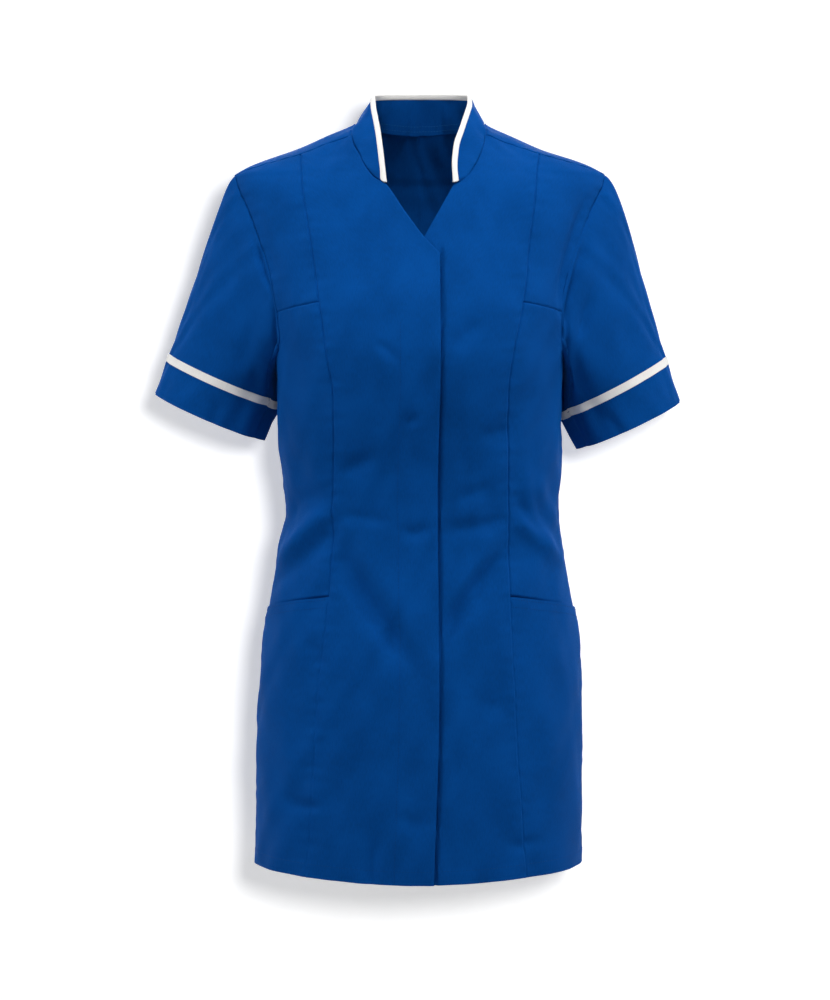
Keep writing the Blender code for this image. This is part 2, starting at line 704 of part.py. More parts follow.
def collar(collection):
    """The stand collar on the neck seam, and the binding along its front and top edges."""
    half = joined(front_neck("left")[1:], side_neck("left"))
    rear = neck_seam(RIDGE_ANGLE, 360 - RIDGE_ANGLE, COLUMNS_BACK)
    other_half = half[::-1] * (-1, 1) + (2 * math.pi, 0)
    spots = joined(half, rear, other_half)
    seam = body(spots)
    edge = collar_edge(np.degrees(spots[:, 0]))

    rise = edge - seam
    height = np.linalg.norm(rise, axis=-1, keepdims=True)
    seam = seam + rise / height * SEAM_GAP
    bound = edge - rise / height * np.minimum(BINDING_WIDTH, BINDING_SHARE * height)
    up = np.linspace(0, 1, ROWS_COLLAR + 1)[:, None, None]
    points = seam * (1 - up) + (bound - rise / height * SEAM_GAP) * up
    outward = facing(points)[-1]
    cloth(collection, "collar", points, points - outward * COLLAR_CLOTH, "blue_cloth")
    points = np.stack([bound, edge])
    cloth(collection, "collar_trim", points, points - outward * BINDING_CLOTH, "white_trim")


def press_studs(collection):
    """Plain discs behind the underlap, on the centre front, where the fly hides them."""
    sunk = UNDERLAP_DEPTH + CLOTH + STUD_CLEARANCE + STUD_THICKNESS / 2
    for number, height in enumerate(np.linspace(STUD_TOP, STUD_BOTTOM, STUD_COUNT), 1):
        spot = by_x(np.array([height]), STUD_X)
        disc = bmesh.new()
        bmesh.ops.create_cone(
            disc,
            cap_ends=True,
            segments=STUD_SIDES,
            radius1=STUD_RADIUS,
            radius2=STUD_RADIUS,
            depth=STUD_THICKNESS,
        )
        name = f"press_stud_{number}"
        mesh = bpy.data.meshes.new(name)
        disc.to_mesh(mesh)
        disc.free()
        mesh.materials.append(material(name, "stud_metal"))
        stud = bpy.data.objects.new(name, mesh)
        stud.location = body(spot, -sunk)[0]
        stud.rotation_euler = Vector(body_normal(*spot[0])).to_track_quat("Z", "Y").to_euler()
        collection.objects.link(stud)


def main():
    cleared()
    collection = bpy.data.collections.new("mandarin_collar_tunic")
    bpy.context.scene.collection.children.link(collection)
    fronts(collection)
    side_fronts(collection)
    back(collection)
    sleeves(collection)
    collar(collection)
    press_studs(collection)


main()
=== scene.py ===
"""The looks of the mandarin collar tunic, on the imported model's frame.

Every cut piece is made again as a thin, finely divided shell on the form of its CAD solid: the same
seams on the same body, with rolled seam edges, puckers, hems, creases and stitching added. The tables
of rings, seams and edges repeat those of the CAD source, in metres, because only the frame is read here.
"""

import math
from collections import namedtuple

import bpy
import numpy as np
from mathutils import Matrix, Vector

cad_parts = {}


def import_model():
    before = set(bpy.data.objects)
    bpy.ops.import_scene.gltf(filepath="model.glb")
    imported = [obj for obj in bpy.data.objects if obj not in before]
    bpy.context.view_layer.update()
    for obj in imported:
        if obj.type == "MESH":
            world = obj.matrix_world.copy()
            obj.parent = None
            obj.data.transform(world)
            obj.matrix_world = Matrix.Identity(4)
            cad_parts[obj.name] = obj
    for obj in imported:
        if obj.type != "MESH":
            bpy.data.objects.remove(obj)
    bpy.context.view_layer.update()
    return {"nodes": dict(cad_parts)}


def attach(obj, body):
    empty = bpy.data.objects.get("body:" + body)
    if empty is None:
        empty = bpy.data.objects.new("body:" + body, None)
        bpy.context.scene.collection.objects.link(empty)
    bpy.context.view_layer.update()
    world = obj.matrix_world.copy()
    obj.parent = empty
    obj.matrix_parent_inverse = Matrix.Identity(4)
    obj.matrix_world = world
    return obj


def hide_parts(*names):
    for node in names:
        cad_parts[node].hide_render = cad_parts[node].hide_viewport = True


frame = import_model()

# Cloth
CLOTH = 0.0012
THINNEST = 0.0003
COLLAR_CLOTH = 0.0020
COLLAR_TUCK = 0.0008
LAYER_GAP = 0.0003
SLEEVE_CLEARANCE = 0.0020
SLEEVE_TUCK = 0.0004
SEAM_ALLOWANCE = 0.0030
ALLOWANCE_TUCK = 0.0010
ARMHOLE_JOIN = 0.010

# The body below the collar
HEM_SIDE = -0.789
HEM_DIP_FRONT = 0.009
HEM_DIP_BACK = 0.004
BUST_SEAM_INNER = -0.197
ROW_LEVEL_AT_UNDERARM = -0.285
POCKET_MOUTH_INNER = -0.5025
POCKET_MOUTH_OUTER = -0.5190
SIDE_SEAM_ANGLE = 92.0
UNDERLAP_DEPTH = 0.0020
UNDERLAP_BLEND = (0.024, 0.062)
FLY_LIFT = 0.0008
FLY_LIFT_REACH = 0.009
EDGE_ROLL = 0.0006
EDGE_ROLL_REACH = 0.0009
GROOVE_DEPTH = 0.0044
GROOVE_OFFSET = 0.0011
GROOVE_HALF_WIDTH = 0.0017
GROOVE_TOP = (-0.150, -0.135)
POCKET_STANDS_OFF = (0.003, 0.040)
POCKET_GAPE = (0.001, 0.016)
MOUTH_STRIP = 0.006
MOUTH_GROOVE = 0.0026
MOUTH_GROOVE_OFFSET = 0.0004
MOUTH_GROOVE_HALF_WIDTH = 0.0013
MOUTH_GROOVE_REACH = 0.045
MOUTH_GROOVE_BEGINS = (0, 0.002)
NECK_FRONT_ANGLE = 22.0
COLLAR_END_ANGLE = 25.5
RIDGE_ANGLE = 90.0

# Sleeves, cuffs, trims and the collar's binding
SLEEVE_DEPTH = 0.051
SLEEVE_FRONT_DROP = 0.006
SLEEVE_PUFF_WAY = (0.93, 0.36)
SLEEVE_PUFF_REACH = 0.10
SLEEVE_CLEAR_BY = 0.3
TRIM_WIDTH = 0.0086
TRIM_LIFT = 0.0010
TRIM_CLOTH = 0.0008
BINDING_WIDTH = 0.0066
BINDING_SHARE = 0.8
BINDING_ROUND = 0.0017
BINDING_POWER = 0.5
BINDING_SIDES = 16

# How finely each stretch is divided
ROWS_BELOW_POCKET = 110
ROWS_AT_MOUTH = 10
ROWS_ABOVE_POCKET = 86
ROWS_UNDER_ARMHOLE = 36
ROWS_FLY_TOP = 20
ROWS_V_NECK = 26
ROWS_NECK_FRONT = 28
ROWS_ARMHOLE_BACK = 100
ROWS_NECK_SIDE = 22
ROWS_SLEEVE = 70
ROWS_CUFF = 16
ROWS_TRIM = 4
ROWS_COLLAR = 14
COLUMNS_FRONT = 56
COLUMNS_SIDE = 36
COLUMNS_BACK = 170
NEAR_EDGE = (0.12, 0.25, 0.40, 0.55, 0.75, 1.25, 1.5)

# How the surfaces are worked out
RIDGE_SOFTNESS = 0.14
FOLD_RADIUS = 0.14
FOLD_FADE_IN = (-0.25, 0.30)
FOLD_FADE_OUT = (0.70, 1.25)
NORMAL_STEP = 0.002
HALVINGS = 40
SHARP_EDGE = 50

Ring = namedtuple("Ring", "height half_width front back front_power back_power sway")
RINGS = (
    Ring(0.004, 0.066, 0.055, 0.062, 1.70, 2.00, 0.000),
    Ring(0.000, 0.071, 0.057, 0.064, 1.65, 1.90, 0.000),
    Ring(-0.013, 0.102, 0.063, 0.070, 1.55, 1.60, -0.0015),
    Ring(-0.026, 0.133, 0.070, 0.076, 1.45, 1.45, -0.0015),
    Ring(-0.039, 0.172, 0.076, 0.081, 1.36, 1.36, 0.000),
    Ring(-0.046, 0.188, 0.079, 0.083, 1.42, 1.42, 0.000),
    Ring(-0.055, 0.200, 0.082, 0.086, 1.55, 1.55, 0.000),
    Ring(-0.066, 0.1995, 0.086, 0.088, 1.80, 1.80, 0.000),
    Ring(-0.080, 0.196, 0.091, 0.091, 2.00, 2.00, 0.000),
    Ring(-0.120, 0.187, 0.104, 0.096, 2.20, 2.20, 0.000),
    Ring(-0.170, 0.175, 0.121, 0.101, 2.30, 2.30, 0.000),
    Ring(-0.210, 0.165, 0.133, 0.101, 2.40, 2.30, 0.000),
    Ring(-0.250, 0.154, 0.137, 0.099, 2.50, 2.30, 0.000),
    Ring(-0.300, 0.152, 0.130, 0.094, 2.40, 2.30, -0.001),
    Ring(-0.345, 0.152, 0.120, 0.087, 2.30, 2.20, 0.000),
    Ring(-0.380, 0.149, 0.113, 0.082, 2.30, 2.20, 0.002),
    Ring(-0.415, 0.146, 0.110, 0.080, 2.20, 2.20, 0.002),
    Ring(-0.450, 0.152, 0.110, 0.084, 2.20, 2.20, 0.001),
    Ring(-0.500, 0.161, 0.114, 0.098, 2.20, 2.20, 0.001),
    Ring(-0.560, 0.169, 0.120, 0.114, 2.20, 2.20, 0.001),
    Ring(-0.620, 0.1725, 0.124, 0.124, 2.20, 2.20, 0.000),
    Ring(-0.700, 0.1735, 0.127, 0.128, 2.20, 2.20, -0.001),
    Ring(-0.800, 0.173, 0.129, 0.130, 2.20, 2.20, -0.002),
)

# The largest folds, each along a line on the body. A positive rise is a ridge, a negative one a trough.
Fold = namedtuple("Fold", "angle_a height_a angle_b height_b half_width rise")
FOLDS = (
    Fold(-43, -0.408, -76, -0.468, 0.013, 0.0045),
    Fold(-47, -0.440, -80, -0.492, 0.013, -0.0035),
    Fold(50, -0.420, 76, -0.466, 0.012, 0.0040),
    Fold(56, -0.384, 78, -0.430, 0.012, 0.0040),
    Fold(-40, -0.464, -6, -0.560, 0.016, -0.0035),
    Fold(44, -0.460, 12, -0.540, 0.014, -0.0040),
    Fold(-150, -0.400, -106, -0.462, 0.014, 0.0040),
    Fold(152, -0.394, 110, -0.450, 0.014, 0.0045),
    Fold(168, -0.440, 122, -0.505, 0.016, -0.0035),
)

# Each princess seam's distance from the centre, wearer's right and left.
Seam = namedtuple("Seam", "height right left")
PRINCESS = (
    Seam(-0.035, 0.1267, 0.1267),
    Seam(-0.050, 0.1255, 0.1240),
    Seam(-0.075, 0.1235, 0.1215),
    Seam(-0.130, 0.1145, 0.1145),
    Seam(-0.197, 0.1050, 0.1076),
    Seam(-0.250, 0.0972, 0.0967),
    Seam(-0.300, 0.0900, 0.0912),
    Seam(-0.400, 0.0905, 0.0918),
    Seam(-0.500, 0.0948, 0.0937),
    Seam(-0.600, 0.1065, 0.0978),
    Seam(-0.700, 0.1120, 0.1035),
    Seam(-0.800, 0.1190, 0.1110),
)

# The free edge of each front, from the V neck down: x at each height.
Edge = namedtuple("Edge", "height x")
FLY_EDGE = (
    Edge(-0.147, 0.0204),
    Edge(-0.250, 0.0210),
    Edge(-0.400, 0.0180),
    Edge(-0.600, 0.0197),
    Edge(-0.800, 0.0140),
)
UNDERLAP_EDGE = (Edge(-0.1625, -0.0160), Edge(-0.800, -0.0160))
V_NECK_RIGHT = (Edge(-0.0725, -0.0350), Edge(-0.129, 0.0039), Edge(-0.147, 0.0204))
V_NECK_LEFT = (Edge(-0.0725, 0.0350), Edge(-0.129, 0.0039), Edge(-0.1625, -0.0160))

# Seams that wander over the body, as points in order.
Spot = namedtuple("Spot", "angle height")
NECK = (
    Spot(22, -0.0725),
    Spot(30, -0.0655),
    Spot(39, -0.0505),
    Spot(46, -0.0380),
    Spot(53, -0.0262),
    Spot(61, -0.0145),
    Spot(73, -0.0040),
    Spot(90, 0.0015),
    Spot(135, 0.0005),
    Spot(180, -0.0010),
)
SHOULDER = (
    Spot(61, -0.0145),
    Spot(70.5, -0.0245),
    Spot(75, -0.0350),
    Spot(82, -0.0430),
    Spot(88, -0.0530),
)
SHOULDER_AT_PRINCESS = 2
ARMHOLE_FRONT = (
    Spot(92, -0.2560),
    Spot(75, -0.2460),
    Spot(67, -0.2260),
    Spot(66, -0.2050),
    Spot(70.4, -0.1570),
    Spot(76.6, -0.1140),
    Spot(81.5, -0.0850),
    Spot(88, -0.0530),
)
ARMHOLE_AT_BUST = 3
ARMHOLE_BACK = (
    Spot(92, -0.2560),
    Spot(100, -0.2400),
    Spot(106, -0.2050),
    Spot(107, -0.1600),
    Spot(103, -0.1100),
    Spot(96, -0.0750),
    Spot(88, -0.0530),
)

# The collar's free edge, wearer's right and left, by the angle of the seam point below it.
CollarEdge = namedtuple("CollarEdge", "angle right_x left_x y height")
COLLAR_EDGE = (
    CollarEdge(25.5, 0.0352, 0.0345, -0.0878, -0.0706),
    CollarEdge(33, 0.0375, 0.0335, -0.0800, -0.0500),
    CollarEdge(41, 0.0400, 0.0354, -0.0690, -0.0290),
    CollarEdge(49, 0.0430, 0.0421, -0.0545, -0.0080),
    CollarEdge(58, 0.0465, 0.0481, -0.0400, 0.0100),
    CollarEdge(70, 0.0490, 0.0521, -0.0270, 0.0240),
    CollarEdge(90, 0.0500, 0.0525, -0.0030, 0.0330),
    CollarEdge(120, 0.0450, 0.0465, 0.0290, 0.0385),
    CollarEdge(150, 0.0260, 0.0260, 0.0490, 0.0420),
    CollarEdge(180, 0.0000, 0.0000, 0.0550, 0.0430),
)

# Where each sleeve's trim and hem reach, at their outer and inner ends, how far behind the middle of the
# body they hang, and how far the sleeve's head swells.
SleeveEnd = namedtuple("SleeveEnd", "outer_x outer_height inner_x inner_height set_back")
Sleeve = namedtuple("Sleeve", "trim hem puff")
SLEEVES = {
    "right": Sleeve(
        trim=SleeveEnd(0.2709, -0.2430, 0.1480, -0.2960, 0.026),
        hem=SleeveEnd(0.2870, -0.2860, 0.1690, -0.3370, 0.030),
        puff=0.0075,
    ),
    "left": Sleeve(
        trim=SleeveEnd(0.2655, -0.2460, 0.1475, -0.3075, 0.026),
        hem=SleeveEnd(0.2817, -0.2946, 0.1700, -0.3465, 0.030),
        puff=0.0115,
    ),
}

SIDES = {"right": -1, "left": 1}

# Stitching: sizes, and how far from its edge each line runs
STITCH_LENGTH = 0.0025
STITCH_PITCH = 0.0032
THREAD = 0.00022
STITCH_SHAPE = (
    # Along half a stitch, thickness and height off the cloth in threads
    (-1.0, 0.35, -1.0),
    (-0.6, 1.0, 0.2),
    (0.0, 1.0, 0.8),
    (0.6, 1.0, 0.2),
    (1.0, 0.35, -1.0),
)
STITCH_SIDES = 5
POCKET_STITCHES = (0.0025, 0.0105)
FLY_STITCHES = 0.0415
COLLAR_STITCHES = (0.0045, 0.0100)
TRIM_STITCHES = 0.0011

# Stage, lights and camera
FLOOR = -1.0
FLOOR_REACH = 6
WALL = 0.150
WALL_REACH = 3
WALL_TOP = 3
WHITE = (1, 1, 1, 1)
STAGE_WHITE = 0.80
STAGE_GLOW = 0.47
WORLD_FILL = 0.09
CAMERA_PLACE = (-0.0054, -2.8, -0.402)
CAMERA_LENS = 93.77
CAMERA_SENSOR = 36.0
Light = namedtuple("Light", "name place target size watts on_stage")
LIGHTS = (
    Light("top", (0.15, -0.85, 1.40), (0, -0.1, -0.3), 0.8, 31, False),
    Light("front", (-0.4, -2.8, 0.1), (0, 0, -0.5), 0.8, 8, False),
    Light("side_left", (-2.3, -0.75, 0.15), (0, 0, -0.4), 0.8, 24, False),
    Light("side_right", (2.3, -0.75, 0.15), (0, 0, -0.4), 0.8, 26, False),
    Light("rear", (0, 2.8, 0.9), (0, 0, -0.4), 1.5, 50, False),
    Light("stage", (0.37, -2.9, -0.09), (0, 0, -0.4), 0.40, 60, True),
)


# ---------------------------------------------------------------- curves and surfaces


def smooth(keys, values):
    """A function through the values at the keys, which never overshoots them. Values may have columns."""
    keys = np.asarray(keys, float)
    values = np.asarray(values, float).reshape(len(keys), -1)
    if keys[0] > keys[-1]:
        keys, values = keys[::-1], values[::-1]
    steps = np.diff(keys)[:, None]
    chords = np.diff(values, axis=0) / steps
    slopes = np.concatenate([chords[:1], np.zeros_like(chords[1:]), chords[-1:]])
    if len(keys) > 2:
        before, after = chords[:-1], chords[1:]
        short, long = 2 * steps[1:] + steps[:-1], steps[1:] + 2 * steps[:-1]
        same = before * after > 0
        safe_before, safe_after = np.where(same, before, 1), np.where(same, after, 1)
        mean = (short + long) / (short / safe_before + long / safe_after)
        slopes[1:-1] = np.where(same, mean, 0)

    def at(key):
        key = np.clip(np.asarray(key, float), keys[0], keys[-1])
        low = np.clip(np.searchsorted(keys, key, side="right") - 1, 0, len(keys) - 2)
        step = (keys[low + 1] - keys[low])[..., None]
        part = (key - keys[low])[..., None] / step
        return (
            (1 + 2 * part) * (1 - part) ** 2 * values[low]
            + part * (1 - part) ** 2 * step * slopes[low]
            + part**2 * (3 - 2 * part) * values[low + 1]
            + part**2 * (part - 1) * step * slopes[low + 1]
        )

    return at


def by_height(table, column):
    """A function of height through one column of a table."""
    through_rows = smooth([row.height for row in table], [getattr(row, column) for row in table])
    return lambda height: through_rows(height)[..., 0]


def smooth_round(angles, right, left):
    """A function of degrees round the neck, from a table that ends at the centre back."""
    other_side = [360 - angle for angle in angles[-2::-1]]
    return smooth([*angles, *other_side], [*left, *right[-2::-1]])


ring_at = smooth([ring.height for ring in RINGS], [ring[1:] for ring in RINGS])
neck_heights = [spot.height for spot in NECK]
neck_height = smooth_round([spot.angle for spot in NECK], neck_heights, neck_heights)
collar_edge = smooth_round(
    [row.angle for row in COLLAR_EDGE],
    [(-row.right_x, row.y, row.height) for row in COLLAR_EDGE],
    [(row.left_x, row.y, row.height) for row in COLLAR_EDGE],
)


def fade(value, start, end):
    """0 before start, 1 after end, and smooth between."""
    part = np.clip((value - start) / (end - start), 0, 1)
    return part * part * (3 - 2 * part)


def hump(distance, half_width):
    """1 at no distance, falling away smoothly on both sides."""
    return np.exp(-((distance / half_width) ** 2))


def unit(vectors):
    return vectors / np.linalg.norm(vectors, axis=-1, keepdims=True)


def along(lengths):
    """How far along a line its points are, from the lengths between them."""
    return np.concatenate([[0], np.cumsum(lengths)])


def fold_rise(angle, height):
    """How far the folds lift the cloth at each point."""
    rise = np.zeros(np.broadcast(angle, height).shape)
    for fold in FOLDS:
        start = np.array([math.radians(fold.angle_a) * FOLD_RADIUS, fold.height_a])
        run = np.array([math.radians(fold.angle_b) * FOLD_RADIUS, fold.height_b]) - start
        across = angle * FOLD_RADIUS - start[0]
        up = height - start[1]
        part = (across * run[0] + up * run[1]) / (run @ run)
        aside = (across * run[1] - up * run[0]) / math.hypot(*run)
        ends = fade(part, *FOLD_FADE_IN) * (1 - fade(part, *FOLD_FADE_OUT))
        rise = rise + fold.rise * ends * hump(aside, fold.half_width)
    return rise


def rounded_power(part, power):
    """|part| to a power, from 0 at 0 to 1 at 1, with no crease at 0."""
    soft = np.power(part**2 + RIDGE_SOFTNESS**2, power / 2) - RIDGE_SOFTNESS**power
    return soft / ((1 + RIDGE_SOFTNESS**2) ** (power / 2) - RIDGE_SOFTNESS**power)


def smooth_body(angle, height):
    """Points of the body without its folds."""
    angle, height = np.broadcast_arrays(np.asarray(angle, float), np.asarray(height, float))
    width, front, back, front_power, back_power, sway = np.moveaxis(ring_at(height), -1, 0)
    ahead = np.cos(angle) > 0
    depth = np.where(ahead, front, back)
    power = np.where(ahead, front_power, back_power)
    sideways = rounded_power(np.sin(angle), power) / width**power
    forwards = rounded_power(np.cos(angle), power) / depth**power
    radius = (sideways + forwards) ** (-1 / power)
    return np.stack([radius * np.sin(angle) + sway, -radius * np.cos(angle), height], -1)


def body_normal(angle, height):
    """The outward direction at each point of the body."""
    across = smooth_body(angle + NORMAL_STEP, height) - smooth_body(angle - NORMAL_STEP, height)
    up = smooth_body(angle, height + NORMAL_STEP) - smooth_body(angle, height - NORMAL_STEP)
    return unit(np.cross(across, up))


def front_angle(x, height):
    """The angle at which the front of the body stands at this x, found by halving."""
    height = np.asarray(height, float)
    side = np.where(x > ring_at(height)[..., -1], 1, -1)
    low, high = np.zeros_like(height), np.full_like(height, math.pi / 2)
    for _ in range(HALVINGS):
        middle = (low + high) / 2
        inside = side * (x - smooth_body(side * middle, height)[..., 0]) > 0
        low, high = np.where(inside, middle, low), np.where(inside, high, middle)
    return side * low


def hem_height(angle):
    dip = np.where(np.cos(angle) > 0, HEM_DIP_FRONT, HEM_DIP_BACK)
    return HEM_SIDE - dip * np.cos(angle) ** 2


# ---------------------------------------------------------------- seams as arrays of (angle, height)


def joined(*stretches):
    """One seam from stretches that start where the last one ended."""
    return np.concatenate([stretches[0]] + [stretch[1:] for stretch in stretches[1:]])


def levels(*stops):
    """Heights from (height, rows), (height, rows), ..., the first with no rows."""
    stretches = [np.linspace(a[0], b[0], b[1] + 1) for a, b in zip(stops, stops[1:])]
    return joined(*stretches)


def by_x(heights, x):
    """A seam on the front from its x at each height."""
    return np.stack([front_angle(x, heights), heights], -1)


def through(table, rows, knot=None, side=1):
    """A seam through a table of spots, with so many rows, or (below, above) rows about a knot."""
    spots = np.array([(math.radians(spot.angle), spot.height) for spot in table])
    lengths = np.linalg.norm(np.diff(smooth_body(spots[:, 0], spots[:, 1]), axis=0), axis=1)
    way = along(lengths)
    if knot is None:
        stations = np.linspace(0, way[-1], rows + 1)
    else:
        stations = joined(
            np.linspace(0, way[knot], rows[0] + 1), np.linspace(way[knot], way[-1], rows[1] + 1)
        )
    return smooth(way, spots)(stations) * (side, 1)


def hem(start, end, columns):
    angle = np.linspace(start, end, columns + 1)
    return np.stack([angle, hem_height(angle)], -1)


def row_between(start, end, columns):
    """A straight row of cloth from one spot to another."""
    return start + (end - start) * np.linspace(0, 1, columns + 1)[:, None]


def filled(bottom, right, top, left):
    """The spots of a panel inside its four edges: bottom and top run left to right, the others upwards."""
    across = np.linspace(0, 1, len(bottom))[None, :, None]
    up = np.linspace(0, 1, len(left))[:, None, None]
    sides = left[:, None] * (1 - across) + right[:, None] * across
    ends = bottom[None] * (1 - up) + top[None] * up
    corners = (bottom[0] * (1 - across) + bottom[-1] * across) * (1 - up) + (
        top[0] * (1 - across) + top[-1] * across
    ) * up
    return sides + ends - corners


ROWS_UPPER = ROWS_FLY_TOP + ROWS_V_NECK + ROWS_NECK_FRONT
ROWS_LOWER = ROWS_BELOW_POCKET + ROWS_AT_MOUTH + ROWS_ABOVE_POCKET + ROWS_UNDER_ARMHOLE
TURN = {"right": slice(None), "left": slice(None, None, -1)}


def princess_seam(side):
    """From the hem to the shoulder."""
    bottom = HEM_SIDE - HEM_DIP_FRONT / 2
    top = SHOULDER[SHOULDER_AT_PRINCESS].height
    heights = levels(
        (bottom,),
        (POCKET_MOUTH_INNER, ROWS_BELOW_POCKET),
        (POCKET_MOUTH_INNER + MOUTH_STRIP, ROWS_AT_MOUTH),
        (ROW_LEVEL_AT_UNDERARM, ROWS_ABOVE_POCKET),
        (BUST_SEAM_INNER, ROWS_UNDER_ARMHOLE),
        (top, ROWS_UPPER),
    )
    seam = by_x(heights, SIDES[side] * by_height(PRINCESS, side)(heights))
    seam[-1] = SIDES[side] * math.radians(SHOULDER[SHOULDER_AT_PRINCESS].angle), top
    seam[0, 1] = hem_height(seam[0, 0])
    return seam


def side_seam(side):
    """From the hem to the underarm."""
    heights = levels(
        (HEM_SIDE,),
        (POCKET_MOUTH_OUTER, ROWS_BELOW_POCKET),
        (POCKET_MOUTH_OUTER + MOUTH_STRIP, ROWS_AT_MOUTH),
        (ARMHOLE_FRONT[0].height, ROWS_ABOVE_POCKET),
    )
    angle = SIDES[side] * math.radians(SIDE_SEAM_ANGLE)
    return np.stack([np.full_like(heights, angle), heights], -1)


def front_armhole(side):
    """From the underarm to the shoulder."""
    return through(ARMHOLE_FRONT, (ROWS_UNDER_ARMHOLE, ROWS_UPPER), ARMHOLE_AT_BUST, SIDES[side])


def back_armhole(side):
    return through(ARMHOLE_BACK, ROWS_ARMHOLE_BACK, side=SIDES[side])


def shoulder_seam(side):
    """From the neck to the armhole."""
    return through(SHOULDER, (COLUMNS_FRONT, COLUMNS_SIDE), SHOULDER_AT_PRINCESS, SIDES[side])


def neck_seam(start, end, rows, side=1):
    angle = np.radians(np.linspace(start, end, rows + 1))
    return np.stack([side * angle, neck_height(np.degrees(angle))[:, 0]], -1)


def front_neck(side):
    """From the V neck round to the shoulder seam, with a station where the collar cloth starts."""
    end = neck_seam(NECK_FRONT_ANGLE, COLLAR_END_ANGLE, 1, SIDES[side])
    return joined(end, neck_seam(COLLAR_END_ANGLE, SHOULDER[0].angle, ROWS_NECK_FRONT - 1, SIDES[side]))


def side_neck(side):
    """From the shoulder seam to the ridge of the shoulder."""
    return neck_seam(SHOULDER[0].angle, RIDGE_ANGLE, ROWS_NECK_SIDE, SIDES[side])


def free_edge(side, edge, v_neck, princess):
    """A front's edge from the hem up, with its V neck and the neck seam up to the shoulder."""
    top = edge[0].height
    fly_top = np.linspace(BUST_SEAM_INNER, top, ROWS_FLY_TOP + 1)
    heights = joined(princess[: ROWS_LOWER + 1, 1], fly_top)
    straight = by_x(heights, by_height(edge, "x")(heights))
    straight[0, 1] = hem_height(straight[0, 0])
    rise = np.linspace(top, v_neck[0].height, ROWS_V_NECK + 1)
    slant = by_x(rise, by_height(v_neck, "x")(rise))
    neck = front_neck(side)
    slant[-1] = neck[0]
    return joined(straight, slant, neck)


# ---------------------------------------------------------------- creases and ripples

# A crease runs through its path. On the body a spot of the path is (x, height) in metres; on a sleeve it
# is (degrees round from the outer end, metres down from the armhole). A positive rise is a ridge, a
# negative one a trough, and lean raises the cloth on one side of it and lowers it on the other.
Crease = namedtuple("Crease", "path half_width rise lean", defaults=(0.0,))
FRONT_CREASES = (
    # The wearer's right side of the waist
    Crease(((-0.092, -0.4105), (-0.114, -0.425), (-0.135, -0.452), (-0.144, -0.464)), 0.009, 0.0034, 0.3),
    Crease(((-0.098, -0.394), (-0.124, -0.399), (-0.137, -0.420)), 0.008, -0.0028),
    Crease(((-0.092, -0.433), (-0.124, -0.456)), 0.010, -0.0024),
    Crease(((-0.119, -0.298), (-0.111, -0.340), (-0.104, -0.402)), 0.010, 0.0020),
    # The wearer's left side of the waist
    Crease(((0.108, -0.371), (0.111, -0.402), (0.121, -0.433), (0.144, -0.466)), 0.007, 0.0030, -0.3),
    Crease(((0.094, -0.417), (0.114, -0.4385), (0.137, -0.462)), 0.007, 0.0030),
    Crease(((0.0995, -0.400), (0.114, -0.423), (0.130, -0.447)), 0.006, -0.0022),
    # The two long drags from the waist down to the fly
    Crease(((-0.088, -0.455), (-0.060, -0.504), (-0.0415, -0.532), (-0.005, -0.583)), 0.011, -0.0050, -0.4),
    Crease(((0.092, -0.453), (0.060, -0.489), (0.040, -0.518), (0.022, -0.556)), 0.008, -0.0055, 0.4),
    Crease(((-0.066, -0.450), (-0.040, -0.495), (-0.015, -0.535)), 0.014, 0.0018),
    Crease(((0.072, -0.450), (0.046, -0.485), (0.028, -0.520)), 0.012, 0.0018),
    # Small drags across the waist
    Crease(((-0.083, -0.371), (-0.062, -0.363), (-0.0435, -0.356)), 0.009, -0.0035, 0.2),
    Crease(((-0.021, -0.435), (-0.005, -0.437), (0.012, -0.431)), 0.008, -0.0029),
    Crease(((0.027, -0.433), (0.073, -0.427), (0.091, -0.415)), 0.009, -0.0035, 0.2),
    Crease(((0.036, -0.402), (0.056, -0.396), (0.078, -0.386)), 0.008, -0.0023),
    Crease(((0.062, -0.340), (0.081, -0.330), (0.090, -0.323)), 0.008, -0.0026),
    Crease(((-0.089, -0.418), (-0.062, -0.420), (-0.029, -0.425)), 0.007, -0.0019),
    # Dents below the waist
    Crease(((-0.120, -0.547), (-0.109, -0.561), (-0.102, -0.576)), 0.009, -0.0024),
    Crease(((-0.140, -0.713), (-0.122, -0.719), (-0.102, -0.715)), 0.008, -0.0027, 0.3),
    Crease(((-0.026, -0.726), (-0.005, -0.736), (0.012, -0.732)), 0.009, -0.0020),
    Crease(((-0.0435, -0.7495), (-0.048, -0.785), (-0.050, -0.810)), 0.007, -0.0030, 0.4),
    Crease(((0.088, -0.753), (0.105, -0.761), (0.130, -0.753)), 0.008, -0.0023),
    Crease(((0.062, -0.6095), (0.093, -0.622)), 0.012, -0.0019),
    Crease(((-0.075, -0.640), (-0.052, -0.690)), 0.014, -0.0016),
    # The bust
    Crease(((0.033, -0.249), (0.054, -0.226), (0.066, -0.218)), 0.009, -0.0031, 0.2),
    Crease(((-0.046, -0.2405), (-0.033, -0.249), (-0.023, -0.261)), 0.006, -0.0021),
    Crease(((-0.017, -0.324), (-0.002, -0.317)), 0.006, -0.0018),
    # The fold beside the wearer's left armhole, and a fainter one beside the right
    Crease(
        ((0.176, -0.085), (0.166, -0.115), (0.157, -0.145), (0.149, -0.185), (0.147, -0.205)), 0.006, -0.0062
    ),
    Crease(((-0.170, -0.100), (-0.160, -0.140), (-0.152, -0.175)), 0.007, -0.0016),
    Crease(((-0.088, -0.085), (-0.083, -0.120)), 0.009, -0.0012),
    Crease(((0.060, -0.075), (0.066, -0.110)), 0.010, -0.0010),
)
